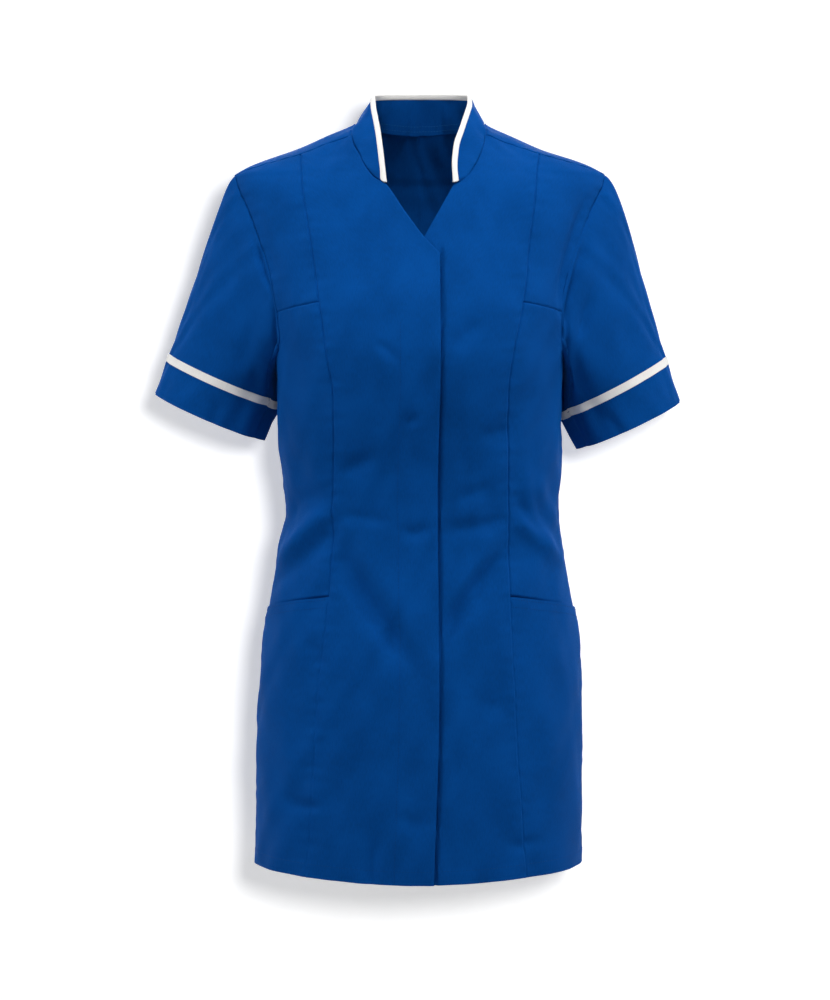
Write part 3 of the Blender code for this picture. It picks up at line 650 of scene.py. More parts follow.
BACK_CREASES = (
    Crease(((-0.100, -0.395), (-0.060, -0.418), (-0.020, -0.430)), 0.011, -0.0030, 0.3),
    Crease(((0.098, -0.402), (0.064, -0.420), (0.026, -0.428)), 0.010, -0.0026, -0.3),
    Crease(((-0.118, -0.440), (-0.090, -0.480), (-0.050, -0.520)), 0.011, -0.0028, -0.3),
    Crease(((0.122, -0.436), (0.096, -0.470), (0.060, -0.505)), 0.009, -0.0032, 0.3),
    Crease(((0.020, -0.372), (0.055, -0.362), (0.085, -0.350)), 0.009, -0.0018),
    Crease(((-0.085, -0.345), (-0.050, -0.356), (-0.015, -0.360)), 0.010, -0.0020),
    Crease(((-0.150, -0.110), (-0.120, -0.170), (-0.112, -0.235)), 0.011, -0.0026, 0.2),
    Crease(((0.152, -0.105), (0.126, -0.160), (0.116, -0.220)), 0.012, -0.0028, -0.2),
    Crease(((-0.040, -0.050), (-0.052, -0.085)), 0.010, -0.0014),
    Crease(((0.035, -0.052), (0.050, -0.090)), 0.011, -0.0012),
    Crease(((-0.030, -0.610), (0.010, -0.622), (0.040, -0.618)), 0.012, -0.0014),
    Crease(((0.060, -0.720), (0.068, -0.765), (0.070, -0.806)), 0.009, -0.0022, 0.3),
    Crease(((-0.078, -0.730), (-0.082, -0.770), (-0.080, -0.806)), 0.010, -0.0018),
)
SLEEVE_CREASES = {
    "right": (
        # The dark fold beside the armhole seam, and the hollow down the inner side
        Crease(((48, 0.011), (76, 0.014), (104, 0.007)), 0.006, -0.0052),
        Crease(((130, 0.020), (144, 0.080), (150, 0.150), (152, 0.270)), 0.020, -0.0085),
        Crease(((98, 0.008), (116, 0.030), (134, 0.060)), 0.006, -0.0036),
        Crease(((90, 0.068), (94, 0.110), (98, 0.156)), 0.009, -0.0024, 0.3),
        Crease(((114, 0.120), (120, 0.170), (116, 0.260)), 0.008, -0.0030),
        Crease(((58, 0.100), (70, 0.168)), 0.012, -0.0016),
        Crease(((92, 0.215), (98, 0.255)), 0.006, -0.0020, 0.3),
        # Behind
        Crease(((262, 0.012), (246, 0.040), (232, 0.072)), 0.008, -0.0030),
        Crease(((276, 0.076), (268, 0.124), (262, 0.180)), 0.010, -0.0022),
        Crease(((318, 0.060), (304, 0.120)), 0.012, -0.0012),
        Crease(((250, 0.205), (242, 0.250)), 0.008, -0.0014),
    ),
    "left": (
        Crease(((52, 0.010), (84, 0.014), (116, 0.014), (150, 0.012)), 0.009, -0.0068),
        Crease(((132, 0.020), (144, 0.080), (150, 0.150), (152, 0.270)), 0.020, -0.0085),
        Crease(((72, 0.054), (84, 0.068), (100, 0.084)), 0.010, -0.0034, 0.2),
        Crease(((112, 0.072), (120, 0.132), (114, 0.260)), 0.008, -0.0032),
        Crease(((96, 0.016), (112, 0.040), (132, 0.068)), 0.007, -0.0026),
        Crease(((50, 0.110), (64, 0.176)), 0.013, -0.0016),
        Crease(((108, 0.210), (102, 0.255)), 0.006, -0.0022, -0.3),
        # Behind
        Crease(((258, 0.016), (244, 0.044), (230, 0.080)), 0.008, -0.0028),
        Crease(((284, 0.084), (270, 0.140), (266, 0.188)), 0.010, -0.0024),
        Crease(((322, 0.072), (306, 0.128)), 0.011, -0.0014),
        Crease(((262, 0.205), (270, 0.250)), 0.008, -0.0014),
    ),
}
CREASE_FADE = 0.35
SLEEVE_RADIUS = 0.055
SLEEVE_LENGTH = 0.20
CUFF_LENGTH = 0.045

# Low ripples everywhere: wavelengths across and up, the turn of each, and its height.
Ripple = namedtuple("Ripple", "across up start rise")
RIPPLES = (
    Ripple(0.071, 0.113, 0.4, 0.00050),
    Ripple(-0.053, 0.087, 2.1, 0.00042),
    Ripple(0.037, -0.061, 4.4, 0.00026),
    Ripple(0.029, 0.171, 1.2, 0.00022),
)
RIPPLE_SWAY = 0.8
RIPPLE_SWAY_LENGTH = 2.7

# Sewn edges
SEAM_ROLL = 0.0013
SEAM_ROLL_REACH = 0.0010
PRESSED_FLAT = (-0.56, -0.42)
PRESSED_SHARE = 0.65
PUCKER = 0.00028
PUCKER_REACH = 0.010
PUCKER_LENGTHS = (0.0135, 0.0213)
PUCKER_SHIFT = 1.9
HEM_DEPTH = 0.0140
HEM_RAISE = 0.00045
HEM_STEP = 0.0012

# From the depth where the back's creases rule to the one where the front's do
FRONT_TAKES_OVER = (-0.03, 0.0)


def crease_rise(creases, across, up):
    """How far creases lift the cloth at each point, across and up being in the creases' own measure."""
    rise = np.zeros(np.broadcast(across, up).shape)
    for crease in creases:
        path = np.array(crease.path, float)
        runs = np.diff(path, axis=0)
        lengths = np.hypot(runs[:, 0], runs[:, 1])
        begun = along(lengths)
        nearest = np.full(rise.shape, np.inf)
        gone, aside = np.zeros(rise.shape), np.zeros(rise.shape)
        for start, run, length, before in zip(path, runs, lengths, begun):
            over, above = across - start[0], up - start[1]
            part = np.clip((over * run[0] + above * run[1]) / length**2, 0, 1)
            gap = np.hypot(over - part * run[0], above - part * run[1])
            closer = gap < nearest
            nearest = np.where(closer, gap, nearest)
            gone = np.where(closer, (before + part * length) / begun[-1], gone)
            aside = np.where(closer, (over * run[1] - above * run[0]) / length, aside)
        begins = fade(gone, -CREASE_FADE / 2, CREASE_FADE)
        goes_on = 1 - fade(gone, 1 - CREASE_FADE, 1 + CREASE_FADE / 2)
        bell = hump(nearest, crease.half_width)
        lean = 1 + crease.lean * aside / crease.half_width
        rise = rise + crease.rise * (begins * goes_on) * bell * lean
    return rise


def ripple_rise(across, up):
    rise = 0
    for ripple in RIPPLES:
        turn = 2 * math.pi * (across / ripple.across + up / ripple.up) + ripple.start
        rise = rise + ripple.rise * np.sin(turn + RIPPLE_SWAY * np.sin(turn / RIPPLE_SWAY_LENGTH))
    return rise


def reaches(points):
    """How far each point of a grid is from its four edges, along the grid."""
    along_row = np.linalg.norm(np.diff(points, axis=1), axis=2)
    along_column = np.linalg.norm(np.diff(points, axis=0), axis=2)
    left = np.concatenate([np.zeros((len(points), 1)), np.cumsum(along_row, axis=1)], axis=1)
    bottom = np.concatenate([np.zeros((1, points.shape[1])), np.cumsum(along_column, axis=0)])
    return {"left": left, "right": left[:, -1:] - left, "bottom": bottom, "top": bottom[-1:] - bottom}


def cloth_rise(spots, base):
    """The folds, creases and ripples of the body at an array of (angle, height)."""
    x, y, height = np.moveaxis(base, -1, 0)
    ahead = fade(-y, *FRONT_TAKES_OVER)
    rise = fold_rise(spots[..., 0], height) + ripple_rise(spots[..., 0] * FOLD_RADIUS, height)
    rise = rise + ahead * crease_rise(FRONT_CREASES, x, height)
    return rise + (1 - ahead) * crease_rise(BACK_CREASES, x, height)


def cloth_edge(spots):
    """A seam of the body as its panels leave it, before their edges roll in."""
    base = smooth_body(spots[..., 0], spots[..., 1])
    return base + cloth_rise(spots, base)[..., None] * body_normal(spots[..., 0], spots[..., 1])


def seam_rise(reach, seams, roll=SEAM_ROLL):
    """The rolled edge of each seam, and the puckers that its stitches pull beside it."""
    rise = 0
    for number, seam in enumerate(seams):
        way = reach["bottom"] if seam in ("left", "right") else reach["left"]
        far = reach[seam]
        waves = sum(np.sin(2 * math.pi * way / length + PUCKER_SHIFT * number) for length in PUCKER_LENGTHS)
        rise = rise - roll * hump(far, SEAM_ROLL_REACH)
        rise = rise + PUCKER * waves * np.exp(-far / PUCKER_REACH) * fade(far, 0, 2 * SEAM_ROLL_REACH)
    return rise


def hem_rise(far):
    """The doubled cloth of a hem, with a slight step at its stitching."""
    return HEM_RAISE * (1 - fade(far, HEM_DEPTH - HEM_STEP, HEM_DEPTH + HEM_STEP))


# ---------------------------------------------------------------- building pieces


def edged(grid, axes=(0, 1)):
    """The grid with extra rows and columns just inside its edges."""
    for axis in axes:
        last = grid.shape[axis] - 1
        near = np.array(NEAR_EDGE)
        stations = np.unique(np.concatenate([np.arange(last + 1), near, last - near]))
        low = np.minimum(stations.astype(int), last - 1)
        part = np.expand_dims(stations - low, (1, 2) if axis == 0 else (0, 2))
        grid = grid.take(low, axis) * (1 - part) + grid.take(low + 1, axis) * part
    return grid


def facing(points, tube=False):
    """The outward direction at each point of a grid."""
    if tube:
        points = np.concatenate([points[:, -2:-1], points, points[:, 1:2]], axis=1)
    across, up = np.gradient(points, axis=1), np.gradient(points, axis=0)
    normal = np.cross(across, up)
    return unit(normal[:, 1:-1] if tube else normal)


def piece(name, points, faces, uv, material):
    """A mesh object that rides on the garment's one body."""
    mesh = bpy.data.meshes.new(name)
    mesh.from_pydata(points.tolist(), [], faces)
    corners = np.empty(len(mesh.loops), np.int32)
    mesh.loops.foreach_get("vertex_index", corners)
    layer = mesh.uv_layers.new(name="cloth")
    layer.data.foreach_set("uv", uv[corners].astype(np.float32).ravel())
    mesh.materials.append(material)
    mesh.shade_smooth()
    mesh.set_sharp_from_angle(angle=math.radians(SHARP_EDGE))
    made = bpy.data.objects.new(name, mesh)
    bpy.context.scene.collection.objects.link(made)
    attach(made, "root")
    return made


def shell(name, outer, inner, material, tube=False):
    """Cloth between two grids of points, standing in for the CAD piece of the same name, which is hidden."""
    rows, columns = outer.shape[:2]
    count = rows * columns
    index = np.arange(count).reshape(rows, columns)
    if tube:
        index[:, -1] = index[:, 0]
    quads = np.stack([index[:-1, :-1], index[:-1, 1:], index[1:, 1:], index[1:, :-1]], -1).reshape(-1, 4)
    rims = [index[0], index[-1][::-1]]
    if not tube:
        rims += [index[:, -1], index[::-1, 0]]
    rim = np.concatenate([np.stack([r[1:], r[:-1], r[:-1] + count, r[1:] + count], -1) for r in rims])
    faces = np.concatenate([quads, quads[:, ::-1] + count, rim])

    reach = reaches(outer)
    middle = reach["left"][:, columns // 2]
    uv = np.stack([reach["left"] - middle[:, None], reach["bottom"]], -1).reshape(-1, 2)
    points = np.concatenate([outer.reshape(-1, 3), inner.reshape(-1, 3)])
    used = np.unique(faces)
    renumbered = np.zeros(2 * count, int)
    renumbered[used] = np.arange(len(used))
    uv = np.concatenate([uv, uv])[used]
    made = piece(f"{name}_cloth", points[used], renumbered[faces].tolist(), uv, material)

    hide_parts(name)
    return made


def body_panel(name, spots, seams, lift=None, hem=False):
    """A panel of the body, and its outer face as a grid for stitching. lift is worked out from the form."""
    spots = edged(spots)
    base = smooth_body(spots[..., 0], spots[..., 1])
    normal = body_normal(spots[..., 0], spots[..., 1])
    reach = reaches(base)
    flatter = 1 - PRESSED_SHARE * (1 - fade(base[..., 2], *PRESSED_FLAT))
    flat = cloth_rise(spots, base)
    rise = flat + seam_rise(reach, seams, SEAM_ROLL * flatter)
    sides = seam_rise(reach, [seam for seam in seams if seam != "top"], SEAM_ROLL * flatter)
    if lift:
        rise = rise + lift(base, reach)
    if hem:
        rise = rise + hem_rise(reach["bottom"])
    outer = base + rise[..., None] * normal
    inside = np.minimum(flat + sides - CLOTH, rise - THINNEST)
    shell(name, outer, base + inside[..., None] * normal, blue_cloth)
    return outer


def lapped_over(base, reach):
    """The right front stands off a little along its fly edge, whose fold is rounded."""
    far = reach["right"]
    roll = EDGE_ROLL * hump(far, EDGE_ROLL_REACH)
    return FLY_LIFT * hump(far, FLY_LIFT_REACH) - roll


def lapped_under(base, reach):
    """The left front dips under the fly, with a groove along the fly edge."""
    x, _, height = np.moveaxis(base, -1, 0)
    fly = by_height(FLY_EDGE, "x")(np.minimum(height, FLY_EDGE[0].height))
    off = (x - fly - GROOVE_OFFSET) / GROOVE_HALF_WIDTH
    groove = GROOVE_DEPTH * np.exp(-(off**2)) * (1 - fade(height, *GROOVE_TOP))
    return -UNDERLAP_DEPTH * (1 - fade(x, *UNDERLAP_BLEND)) - groove


def fronts():
    """Both fronts, with the left one dipping under the fly edge of the right one."""
    made = {}
    for side, edge, v_neck, lift in (
        ("right", FLY_EDGE, V_NECK_RIGHT, lapped_over),
        ("left", UNDERLAP_EDGE, V_NECK_LEFT, lapped_under),
    ):
        turn = TURN[side]
        outer = princess_seam(side)
        free = free_edge(side, edge, v_neck, outer)
        left, right = (outer, free)[turn]
        bottom = hem(left[0, 0], right[0, 0], COLUMNS_FRONT)
        top = shoulder_seam(side)[: COLUMNS_FRONT + 1]
        spots = filled(bottom, right, top[::-1] if side == "right" else top, left)
        seams = ("top", "left" if side == "right" else "right")
        made[side] = body_panel(f"front_{side}", spots, seams, lift, hem=True)
    return made


def side_fronts():
    """The upper and lower side fronts, and the pocket layers that lie on the lower ones."""
    pockets = {}
    for side in SIDES:
        turn = TURN[side]
        princess = princess_seam(side)
        armhole = front_armhole(side)
        bust = row_between(armhole[ROWS_UNDER_ARMHOLE], princess[ROWS_LOWER], COLUMNS_SIDE)
        shoulder = shoulder_seam(side)[COLUMNS_FRONT:][::-1]

        outer, inner = armhole[ROWS_UNDER_ARMHOLE:], princess[ROWS_LOWER:]
        left, right = (outer, inner)[turn]
        spots = filled(bust[turn], right, shoulder[turn], left)
        body_panel(f"side_front_upper_{side}", spots, ("bottom", "top", "left", "right"))

        outer = joined(side_seam(side), armhole[: ROWS_UNDER_ARMHOLE + 1])
        left, right = (outer, princess[: ROWS_LOWER + 1])[turn]
        bottom = hem(left[0, 0], right[0, 0], COLUMNS_SIDE)
        spots = filled(bottom, right, bust[turn], left)
        mouth = smooth_body(*spots[ROWS_BELOW_POCKET].T)

        def proud(base, reach, side=side):
            return (CLOTH + LAYER_GAP) * fade(reach[side], *POCKET_STANDS_OFF)

        def under(base, reach, side=side, mouth=mouth, proud=proud):
            above = base[..., 2] - np.interp(base[..., 0], mouth[:, 0], mouth[:, 2])
            below = 1 - fade(above, *POCKET_GAPE)
            off = (above - MOUTH_GROOVE_OFFSET) / MOUTH_GROOVE_HALF_WIDTH
            groove = MOUTH_GROOVE * np.exp(-(off**2) - (reach[side] / MOUTH_GROOVE_REACH) ** 2)
            begun = fade(reach[side], *MOUTH_GROOVE_BEGINS)
            return (proud(base, reach) - CLOTH - LAYER_GAP) * below - groove * begun

        body_panel(f"side_front_lower_{side}", spots, ("top", "left", "right"), under)
        pocket = spots[: ROWS_BELOW_POCKET + 1]
        pockets[side] = body_panel(f"pocket_{side}", pocket, ("left", "right"), proud, hem=True)
    return pockets


def back_edge(side):
    """The back's edge from the hem up: side seam, armhole, shoulder seam and the side of the neck."""
    stretches = (side_seam(side), back_armhole(side), shoulder_seam(side)[::-1], side_neck(side))
    return joined(*(stretch[::2] for stretch in stretches))


def round_the_back(seam):
    """Angles of the wearer's right side, counted on past 180 so that a row runs round the back."""
    return seam + np.where(seam[:, :1] < 0, 2 * math.pi, 0) * (1, 0)


def back():
    left, right = back_edge("left"), round_the_back(back_edge("right"))
    bottom = hem(left[0, 0], right[0, 0], COLUMNS_BACK)
    top = neck_seam(RIDGE_ANGLE, 360 - RIDGE_ANGLE, COLUMNS_BACK)
    spots = filled(bottom, right, top, left)
    spots[..., 0] = np.where(spots[..., 0] > math.pi, spots[..., 0] - 2 * math.pi, spots[..., 0])
    return body_panel("back", spots, ("top", "left", "right"), hem=True)


def sleeve_ring(end, around, side):
    """A ring across the sleeve: around is 0 at its outer end, a quarter turn at its front."""
    outer = np.array([side * end.outer_x, end.set_back, end.outer_height])
    inner = np.array([side * end.inner_x, end.set_back, end.inner_height])
    front = np.array([0, -SLEEVE_DEPTH, -SLEEVE_FRONT_DROP])
    across = np.cos(around)[:, None] * (outer - inner) / 2
    return (outer + inner) / 2 + across + np.sin(around)[:, None] * front


def outside_body(points, clearance):
    """The points, pushed out sideways where they are nearer to the body than the clearance."""
    sway = ring_at(points[..., 2])[..., -1]
    angle = np.arctan2(points[..., 0] - sway, -points[..., 1])
    radius = np.hypot(points[..., 0] - sway, points[..., 1])
    surface = smooth_body(angle, points[..., 2])
    least = np.hypot(surface[..., 0] - sway, surface[..., 1]) + clearance
    grow = (np.maximum(radius, least) / radius)[..., None]
    centre = np.stack([sway, 0 * sway, points[..., 2]], -1)
    return centre + (points - centre) * np.concatenate([grow, grow, np.ones_like(grow)], -1)


def sleeves():
    """Each sleeve from the armhole to its trim, the cuff below it and the trim over their joint."""
    made = {}
    for name, side in SIDES.items():
        front, rear = front_armhole(name), back_armhole(name)
        spots = joined(front, rear[::-1])
        loop = cloth_edge(spots)
        steps = np.linalg.norm(np.diff(loop, axis=0), axis=1)
        way = along(steps) / steps.sum()
        around = math.pi - 2 * math.pi * way
        sizes = SLEEVES[name]
        ring, cuff_hem = (sleeve_ring(end, around, side) for end in (sizes.trim, sizes.hem))

        part = np.linspace(0, 1, ROWS_SLEEVE + 1)[:, None, None]
        puff = sizes.puff * (1 - part) * (1 - np.exp(-part / SLEEVE_PUFF_REACH))
        puff_way = np.array([side * SLEEVE_PUFF_WAY[0], 0, SLEEVE_PUFF_WAY[1]])
        swell = puff * puff_way * np.maximum(np.cos(around), 0)[:, None]
        points = loop * (1 - part) + ring * part + swell
        points = outside_body(points, SLEEVE_CLEARANCE * fade(part[..., 0], 0, SLEEVE_CLEAR_BY))
        points = edged(points, axes=(0,))
        way_in = unit(points[0] - points[1])
        far = reaches(points)["bottom"][..., None]
        tuck = (SEAM_ROLL + SLEEVE_TUCK) * hump(far, SEAM_ROLL_REACH)
        normal = body_normal(spots[:, 0], spots[:, 1])
        points = points - normal * tuck
        turned_in = points[0] + way_in * SEAM_ALLOWANCE - normal * ALLOWANCE_TUCK
        points = np.concatenate([turned_in[None], points])
        ring = points[-1]
        fall = cuff_hem - ring
        depth = np.linalg.norm(fall, axis=-1, keepdims=True)
        joint = ring + fall / depth * TRIM_WIDTH
        sleeve = np.concatenate([points, joint[None]])
        down = np.linspace(0, 1, ROWS_CUFF + 1)[:, None, None]
        cuff = edged(joint * (1 - down) + cuff_hem * down, axes=(0,))
        band = np.linspace(0, 1, ROWS_TRIM + 1)[:, None, None]
        trim = ring * (1 - band) + joint * band

        degrees = np.degrees(around) % 360
        across = np.radians(degrees)[None] * SLEEVE_RADIUS
        creases = [
            crease._replace(path=[(math.radians(a) * SLEEVE_RADIUS, b) for a, b in crease.path])
            for crease in SLEEVE_CREASES[name]
        ]
        at_trim = SLEEVE_LENGTH * (1 - TRIM_WIDTH / reaches(sleeve)["bottom"][-1:])
        for kind, points, start, end, lift, thickness, material, slot in (
            ("sleeve", sleeve, 0, SLEEVE_LENGTH, 0, CLOTH, blue_cloth, "blue_cloth"),
            ("cuff", cuff, SLEEVE_LENGTH, SLEEVE_LENGTH + CUFF_LENGTH, 0, CLOTH, blue_cloth, "blue_cloth"),
            ("cuff_trim", trim, at_trim, SLEEVE_LENGTH, TRIM_LIFT, TRIM_CLOTH, white_trim, "white_trim"),
        ):
            reach = reaches(points)
            far_down = start + (end - start) * reach["bottom"] / reach["bottom"][-1:]
            rise = lift + crease_rise(creases, across, far_down)
            rise = rise + ripple_rise(np.sin(around)[None] * 2 * SLEEVE_RADIUS, points[..., 2])
            if kind == "sleeve":
                joined_by = fade(reach["bottom"], SEAM_ALLOWANCE, SEAM_ALLOWANCE + ARMHOLE_JOIN)
                rise = joined_by * (rise + seam_rise(reach, ("bottom",), roll=0))
            if kind == "cuff":
                rise = rise + HEM_RAISE
            rise[:, -1] = rise[:, 0]
            turn = TURN[name]
            points, rise = points[:, turn], rise[:, turn]
            outward = facing(points, tube=True)
            outer = points + outward * rise[..., None]
            shell(f"{kind}_{name}", outer, outer - outward * thickness, material, tube=True)
            made[f"{kind}_{name}"] = outer
    return made


def collar():
    """The stand collar on the neck seam, and the rounded binding along its front and top edges."""
    half = joined(front_neck("left")[1:], side_neck("left"))
    rear = neck_seam(RIDGE_ANGLE, 360 - RIDGE_ANGLE, COLUMNS_BACK)
    other_half = half[::-1] * (-1, 1) + (2 * math.pi, 0)
    spots = joined(half, rear, other_half)
    seam = cloth_edge(spots)
    edge = collar_edge(np.degrees(spots[:, 0]))

    rise = edge - seam
    height = np.linalg.norm(rise, axis=-1, keepdims=True)
    bound = edge - rise / height * np.minimum(BINDING_WIDTH, BINDING_SHARE * height)
    up = np.linspace(0, 1, ROWS_COLLAR + 1)[:, None, None]
    points = edged(seam * (1 - up) + bound * up, axes=(0,))
    outward = facing(points)
    reach = reaches(points)
    waves = ripple_rise(reach["left"], reach["bottom"])
    lift = waves + seam_rise(reach, ("bottom",))
    outer = points + outward * lift[..., None]
    outer[0] -= rise / height * COLLAR_TUCK
    inner = points + outward * np.minimum(waves - COLLAR_CLOTH, lift - THINNEST)[..., None]
    inner[0] -= rise / height * COLLAR_TUCK
    shell("collar", outer, inner, blue_cloth)

    middle = (bound + edge) / 2 - outward[-1] * COLLAR_CLOTH / 2
    half_wide = (edge - bound) / 2
    turns = np.linspace(0, 2 * math.pi, BINDING_SIDES + 1)[:, None, None]
    wide, thick = (np.sign(part) * np.abs(part) ** BINDING_POWER for part in (np.cos(turns), np.sin(turns)))
    round_it = middle + half_wide * wide + outward[-1] * BINDING_ROUND * thick
    binding(round_it.transpose(1, 0, 2))
    return outer, inner


def binding(rings):
    """A closed roll of binding through rings of points, with its ends filled."""
    count, sides = rings.shape[0], rings.shape[1] - 1
    index = np.arange(count * sides).reshape(count, sides)
    ahead = np.roll(index, -1, axis=1)
    quads = np.stack([index[:-1], ahead[:-1], ahead[1:], index[1:]], -1).reshape(-1, 4)
    faces = quads.tolist() + [index[0][::-1].tolist(), index[-1].tolist()]
    reach = reaches(rings)
    uv = np.stack([reach["left"], reach["bottom"]], -1)[:, :-1].reshape(-1, 2)
    made = piece("collar_trim_cloth", rings[:, :-1].reshape(-1, 3), faces, uv, white_trim)
    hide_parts("collar_trim")


# ---------------------------------------------------------------- stitching

def edge_line(grid, edge, distance):
    """Points of a grid at this distance from one of its edges, in order along it."""
    columns = grid.transpose(1, 0, 2)
    lanes = {"bottom": grid, "top": grid[::-1], "left": columns, "right": columns[::-1]}[edge]
    steps = np.linalg.norm(np.diff(lanes[..., :3], axis=0), axis=2)
    way = np.concatenate([np.zeros((1, lanes.shape[1])), np.cumsum(steps, axis=0)])
    low = np.clip((way < distance).sum(0) - 1, 0, len(lanes) - 2)
    lane = np.arange(lanes.shape[1])
    part = ((distance - way[low, lane]) / (way[low + 1, lane] - way[low, lane]))[:, None]
    return lanes[low, lane] * (1 - part) + lanes[low + 1, lane] * part


def stitching(name, lines, material):
    """One mesh of short stitches along lines. A line is points with the cloth's outward direction."""
    centres, ways, outs = [], [], []
    for line in lines:
        spots, outward = line[:, :3], line[:, 3:]
        steps = np.linalg.norm(np.diff(spots, axis=0), axis=1)
        way = along(steps)
        stations = np.arange(STITCH_PITCH, way[-1] - STITCH_PITCH, STITCH_PITCH)
        ends = [
            np.stack([np.interp(stations + shift, way, column) for column in spots.T], -1)
            for shift in (-STITCH_LENGTH / 2, STITCH_LENGTH / 2)
        ]
        run = ends[1] - ends[0]
        centres.append((ends[0] + ends[1]) / 2)
        ways.append(unit(run))
        outs.append(np.stack([np.interp(stations, way, column) for column in outward.T], -1))
    centre, way, out = (np.concatenate(each)[:, None, None] for each in (centres, ways, outs))
    out = unit(out)
    aside = np.cross(way, out)
    shape = np.array(STITCH_SHAPE)[None, :, None, :, None]
    turn = 2 * math.pi * np.arange(STITCH_SIDES)[None, None, :, None] / STITCH_SIDES
    ring = shape[:, :, :, 1] * THREAD * (np.cos(turn) * aside + np.sin(turn) * out)
    points = centre + shape[:, :, :, 0] * way * STITCH_LENGTH / 2 + shape[:, :, :, 2] * out * THREAD + ring
    count, rings = points.shape[:2]
    index = np.arange(count * rings * STITCH_SIDES).reshape(count, rings, STITCH_SIDES)
    ahead = np.roll(index, -1, axis=2)
    quads = np.stack([index[:, :-1], ahead[:, :-1], ahead[:, 1:], index[:, 1:]], -1).reshape(-1, 4)
    faces = quads.tolist() + index[:, 0, ::-1].tolist() + index[:, -1].tolist()
    points = points.reshape(-1, 3)
    return piece(name, points, faces, points[:, :2], material)


def with_facing(grid, tube=False, inside=False):
    """A grid of points with the outward direction at each, for stitching lines."""
    outward = facing(grid, tube)
    return np.concatenate([grid, -outward if inside else outward], -1)


# ---------------------------------------------------------------- materials


class Nodes:
    """The node tree of a material or a world, with short ways to add nodes and join them."""

    def __init__(self, owner):
        owner.use_nodes = True
        self.owner = owner
        self.tree = owner.node_tree
        self.shader = self.tree.nodes.get("Principled BSDF")

    def add(self, kind, sockets=(), **settings):
        node = self.tree.nodes.new(kind)
        for setting, value in settings.items():
            setattr(node, setting, value)
        for socket, value in dict(sockets).items():
            self.put(node.inputs[socket], value)
        return node

    def put(self, socket, value):
        if isinstance(value, bpy.types.NodeSocket):
            self.tree.links.new(value, socket)
        else:
            socket.default_value = value

    def look(self, sockets):
        for socket, value in sockets.items():
            self.put(self.shader.inputs[socket], value)

    def math(self, operation, *values):
        node = self.add("ShaderNodeMath", operation=operation)
        for socket, value in zip(node.inputs, values):
            self.put(socket, value)
        return node.outputs[0]

    def noise(self, vector, scale, detail=2.0):
        sockets = {"Vector": vector, "Scale": scale, "Detail": detail}
        return self.add("ShaderNodeTexNoise", sockets).outputs["Fac"]

    def mixed(self, share, low, high):
        node = self.add("ShaderNodeMix", data_type="RGBA")
        self.put(node.inputs[0], share)
        self.put(node.inputs[6], low)
        self.put(node.inputs[7], high)
        return node.outputs[2]

    def spread(self, value, low, high):
        sockets = {"Value": value, "To Min": low, "To Max": high}
        return self.add("ShaderNodeMapRange", sockets).outputs[0]

    def bump(self, height, strength, distance, normal=None):
        sockets = {"Height": height, "Strength": strength, "Distance": distance}
        if normal is not None:
            sockets["Normal"] = normal
        return self.add("ShaderNodeBump", sockets).outputs[0]


def woven(nodes, pitch):
    """The height of a plain weave, from the cloth's own map in metres."""
    spot = nodes.add("ShaderNodeUVMap", uv_map="cloth").outputs[0]
    parts = nodes.add("ShaderNodeSeparateXYZ", {0: spot})
    warp, weft = (
        nodes.math("SINE", nodes.math("MULTIPLY", parts.outputs[axis], math.pi / pitch)) for axis in (0, 1)
    )
    over = nodes.math("GREATER_THAN", nodes.math("MULTIPLY", warp, weft), 0.0)
    lifted = nodes.math("MULTIPLY", nodes.math("ABSOLUTE", warp), over)
    crossed = nodes.math("MULTIPLY", nodes.math("ABSOLUTE", weft), nodes.math("SUBTRACT", 1.0, over))
    return spot, nodes.math("ADD", lifted, crossed)


def cloth_material(name, light, dark, pitch, specular, sheen, sheen_tint, roughness, weave_bump):
    """Woven cloth: uneven colour, slubs, a plain weave and a soft sheen."""
    nodes = Nodes(bpy.data.materials.new(name))
    place = nodes.add("ShaderNodeTexCoord").outputs["Object"]
    spot, weave = woven(nodes, pitch)
    patches = nodes.noise(place, 22.0, 3.0)
    stretched = nodes.add("ShaderNodeMapping", {"Vector": spot, "Scale": (900.0, 160.0, 1.0)}).outputs[0]
    slubs = nodes.noise(stretched, 1.0, 2.0)
    fluff = nodes.noise(place, 1400.0, 1.0)
    share = nodes.math("ADD", nodes.math("MULTIPLY", patches, 0.55), nodes.math("MULTIPLY", slubs, 0.45))
    tone = nodes.spread(nodes.math("ADD", share, nodes.math("MULTIPLY", weave, 0.12)), -0.75, 1.65)
    fine = nodes.bump(weave, weave_bump, pitch * 0.30)
    hairy = nodes.bump(fluff, 0.12, 0.0002, fine)
    nodes.look(
        {
            "Base Color": nodes.mixed(tone, dark, light),
            "Roughness": nodes.spread(slubs, roughness - 0.06, roughness + 0.08),
            "Specular IOR Level": specular,
            "Specular Tint": sheen_tint,
            "Sheen Weight": sheen,
            "Sheen Roughness": 0.42,
            "Sheen Tint": sheen_tint,
            "Normal": nodes.bump(slubs, 0.10, 0.0003, hairy),
        }
    )
    return nodes.owner


def thread_material(name, light, dark):
    """Sewing thread, twisted along the stitch."""
    nodes = Nodes(bpy.data.materials.new(name))
    place = nodes.add("ShaderNodeTexCoord").outputs["Object"]
    fibre = nodes.noise(place, 2600.0, 2.0)
    nodes.look(
        {
            "Base Color": nodes.mixed(fibre, dark, light),
            "Roughness": nodes.spread(fibre, 0.45, 0.65),
            "Specular IOR Level": 0.06,
            "Normal": nodes.bump(fibre, 0.3, 0.0001),
        }
    )
    return nodes.owner


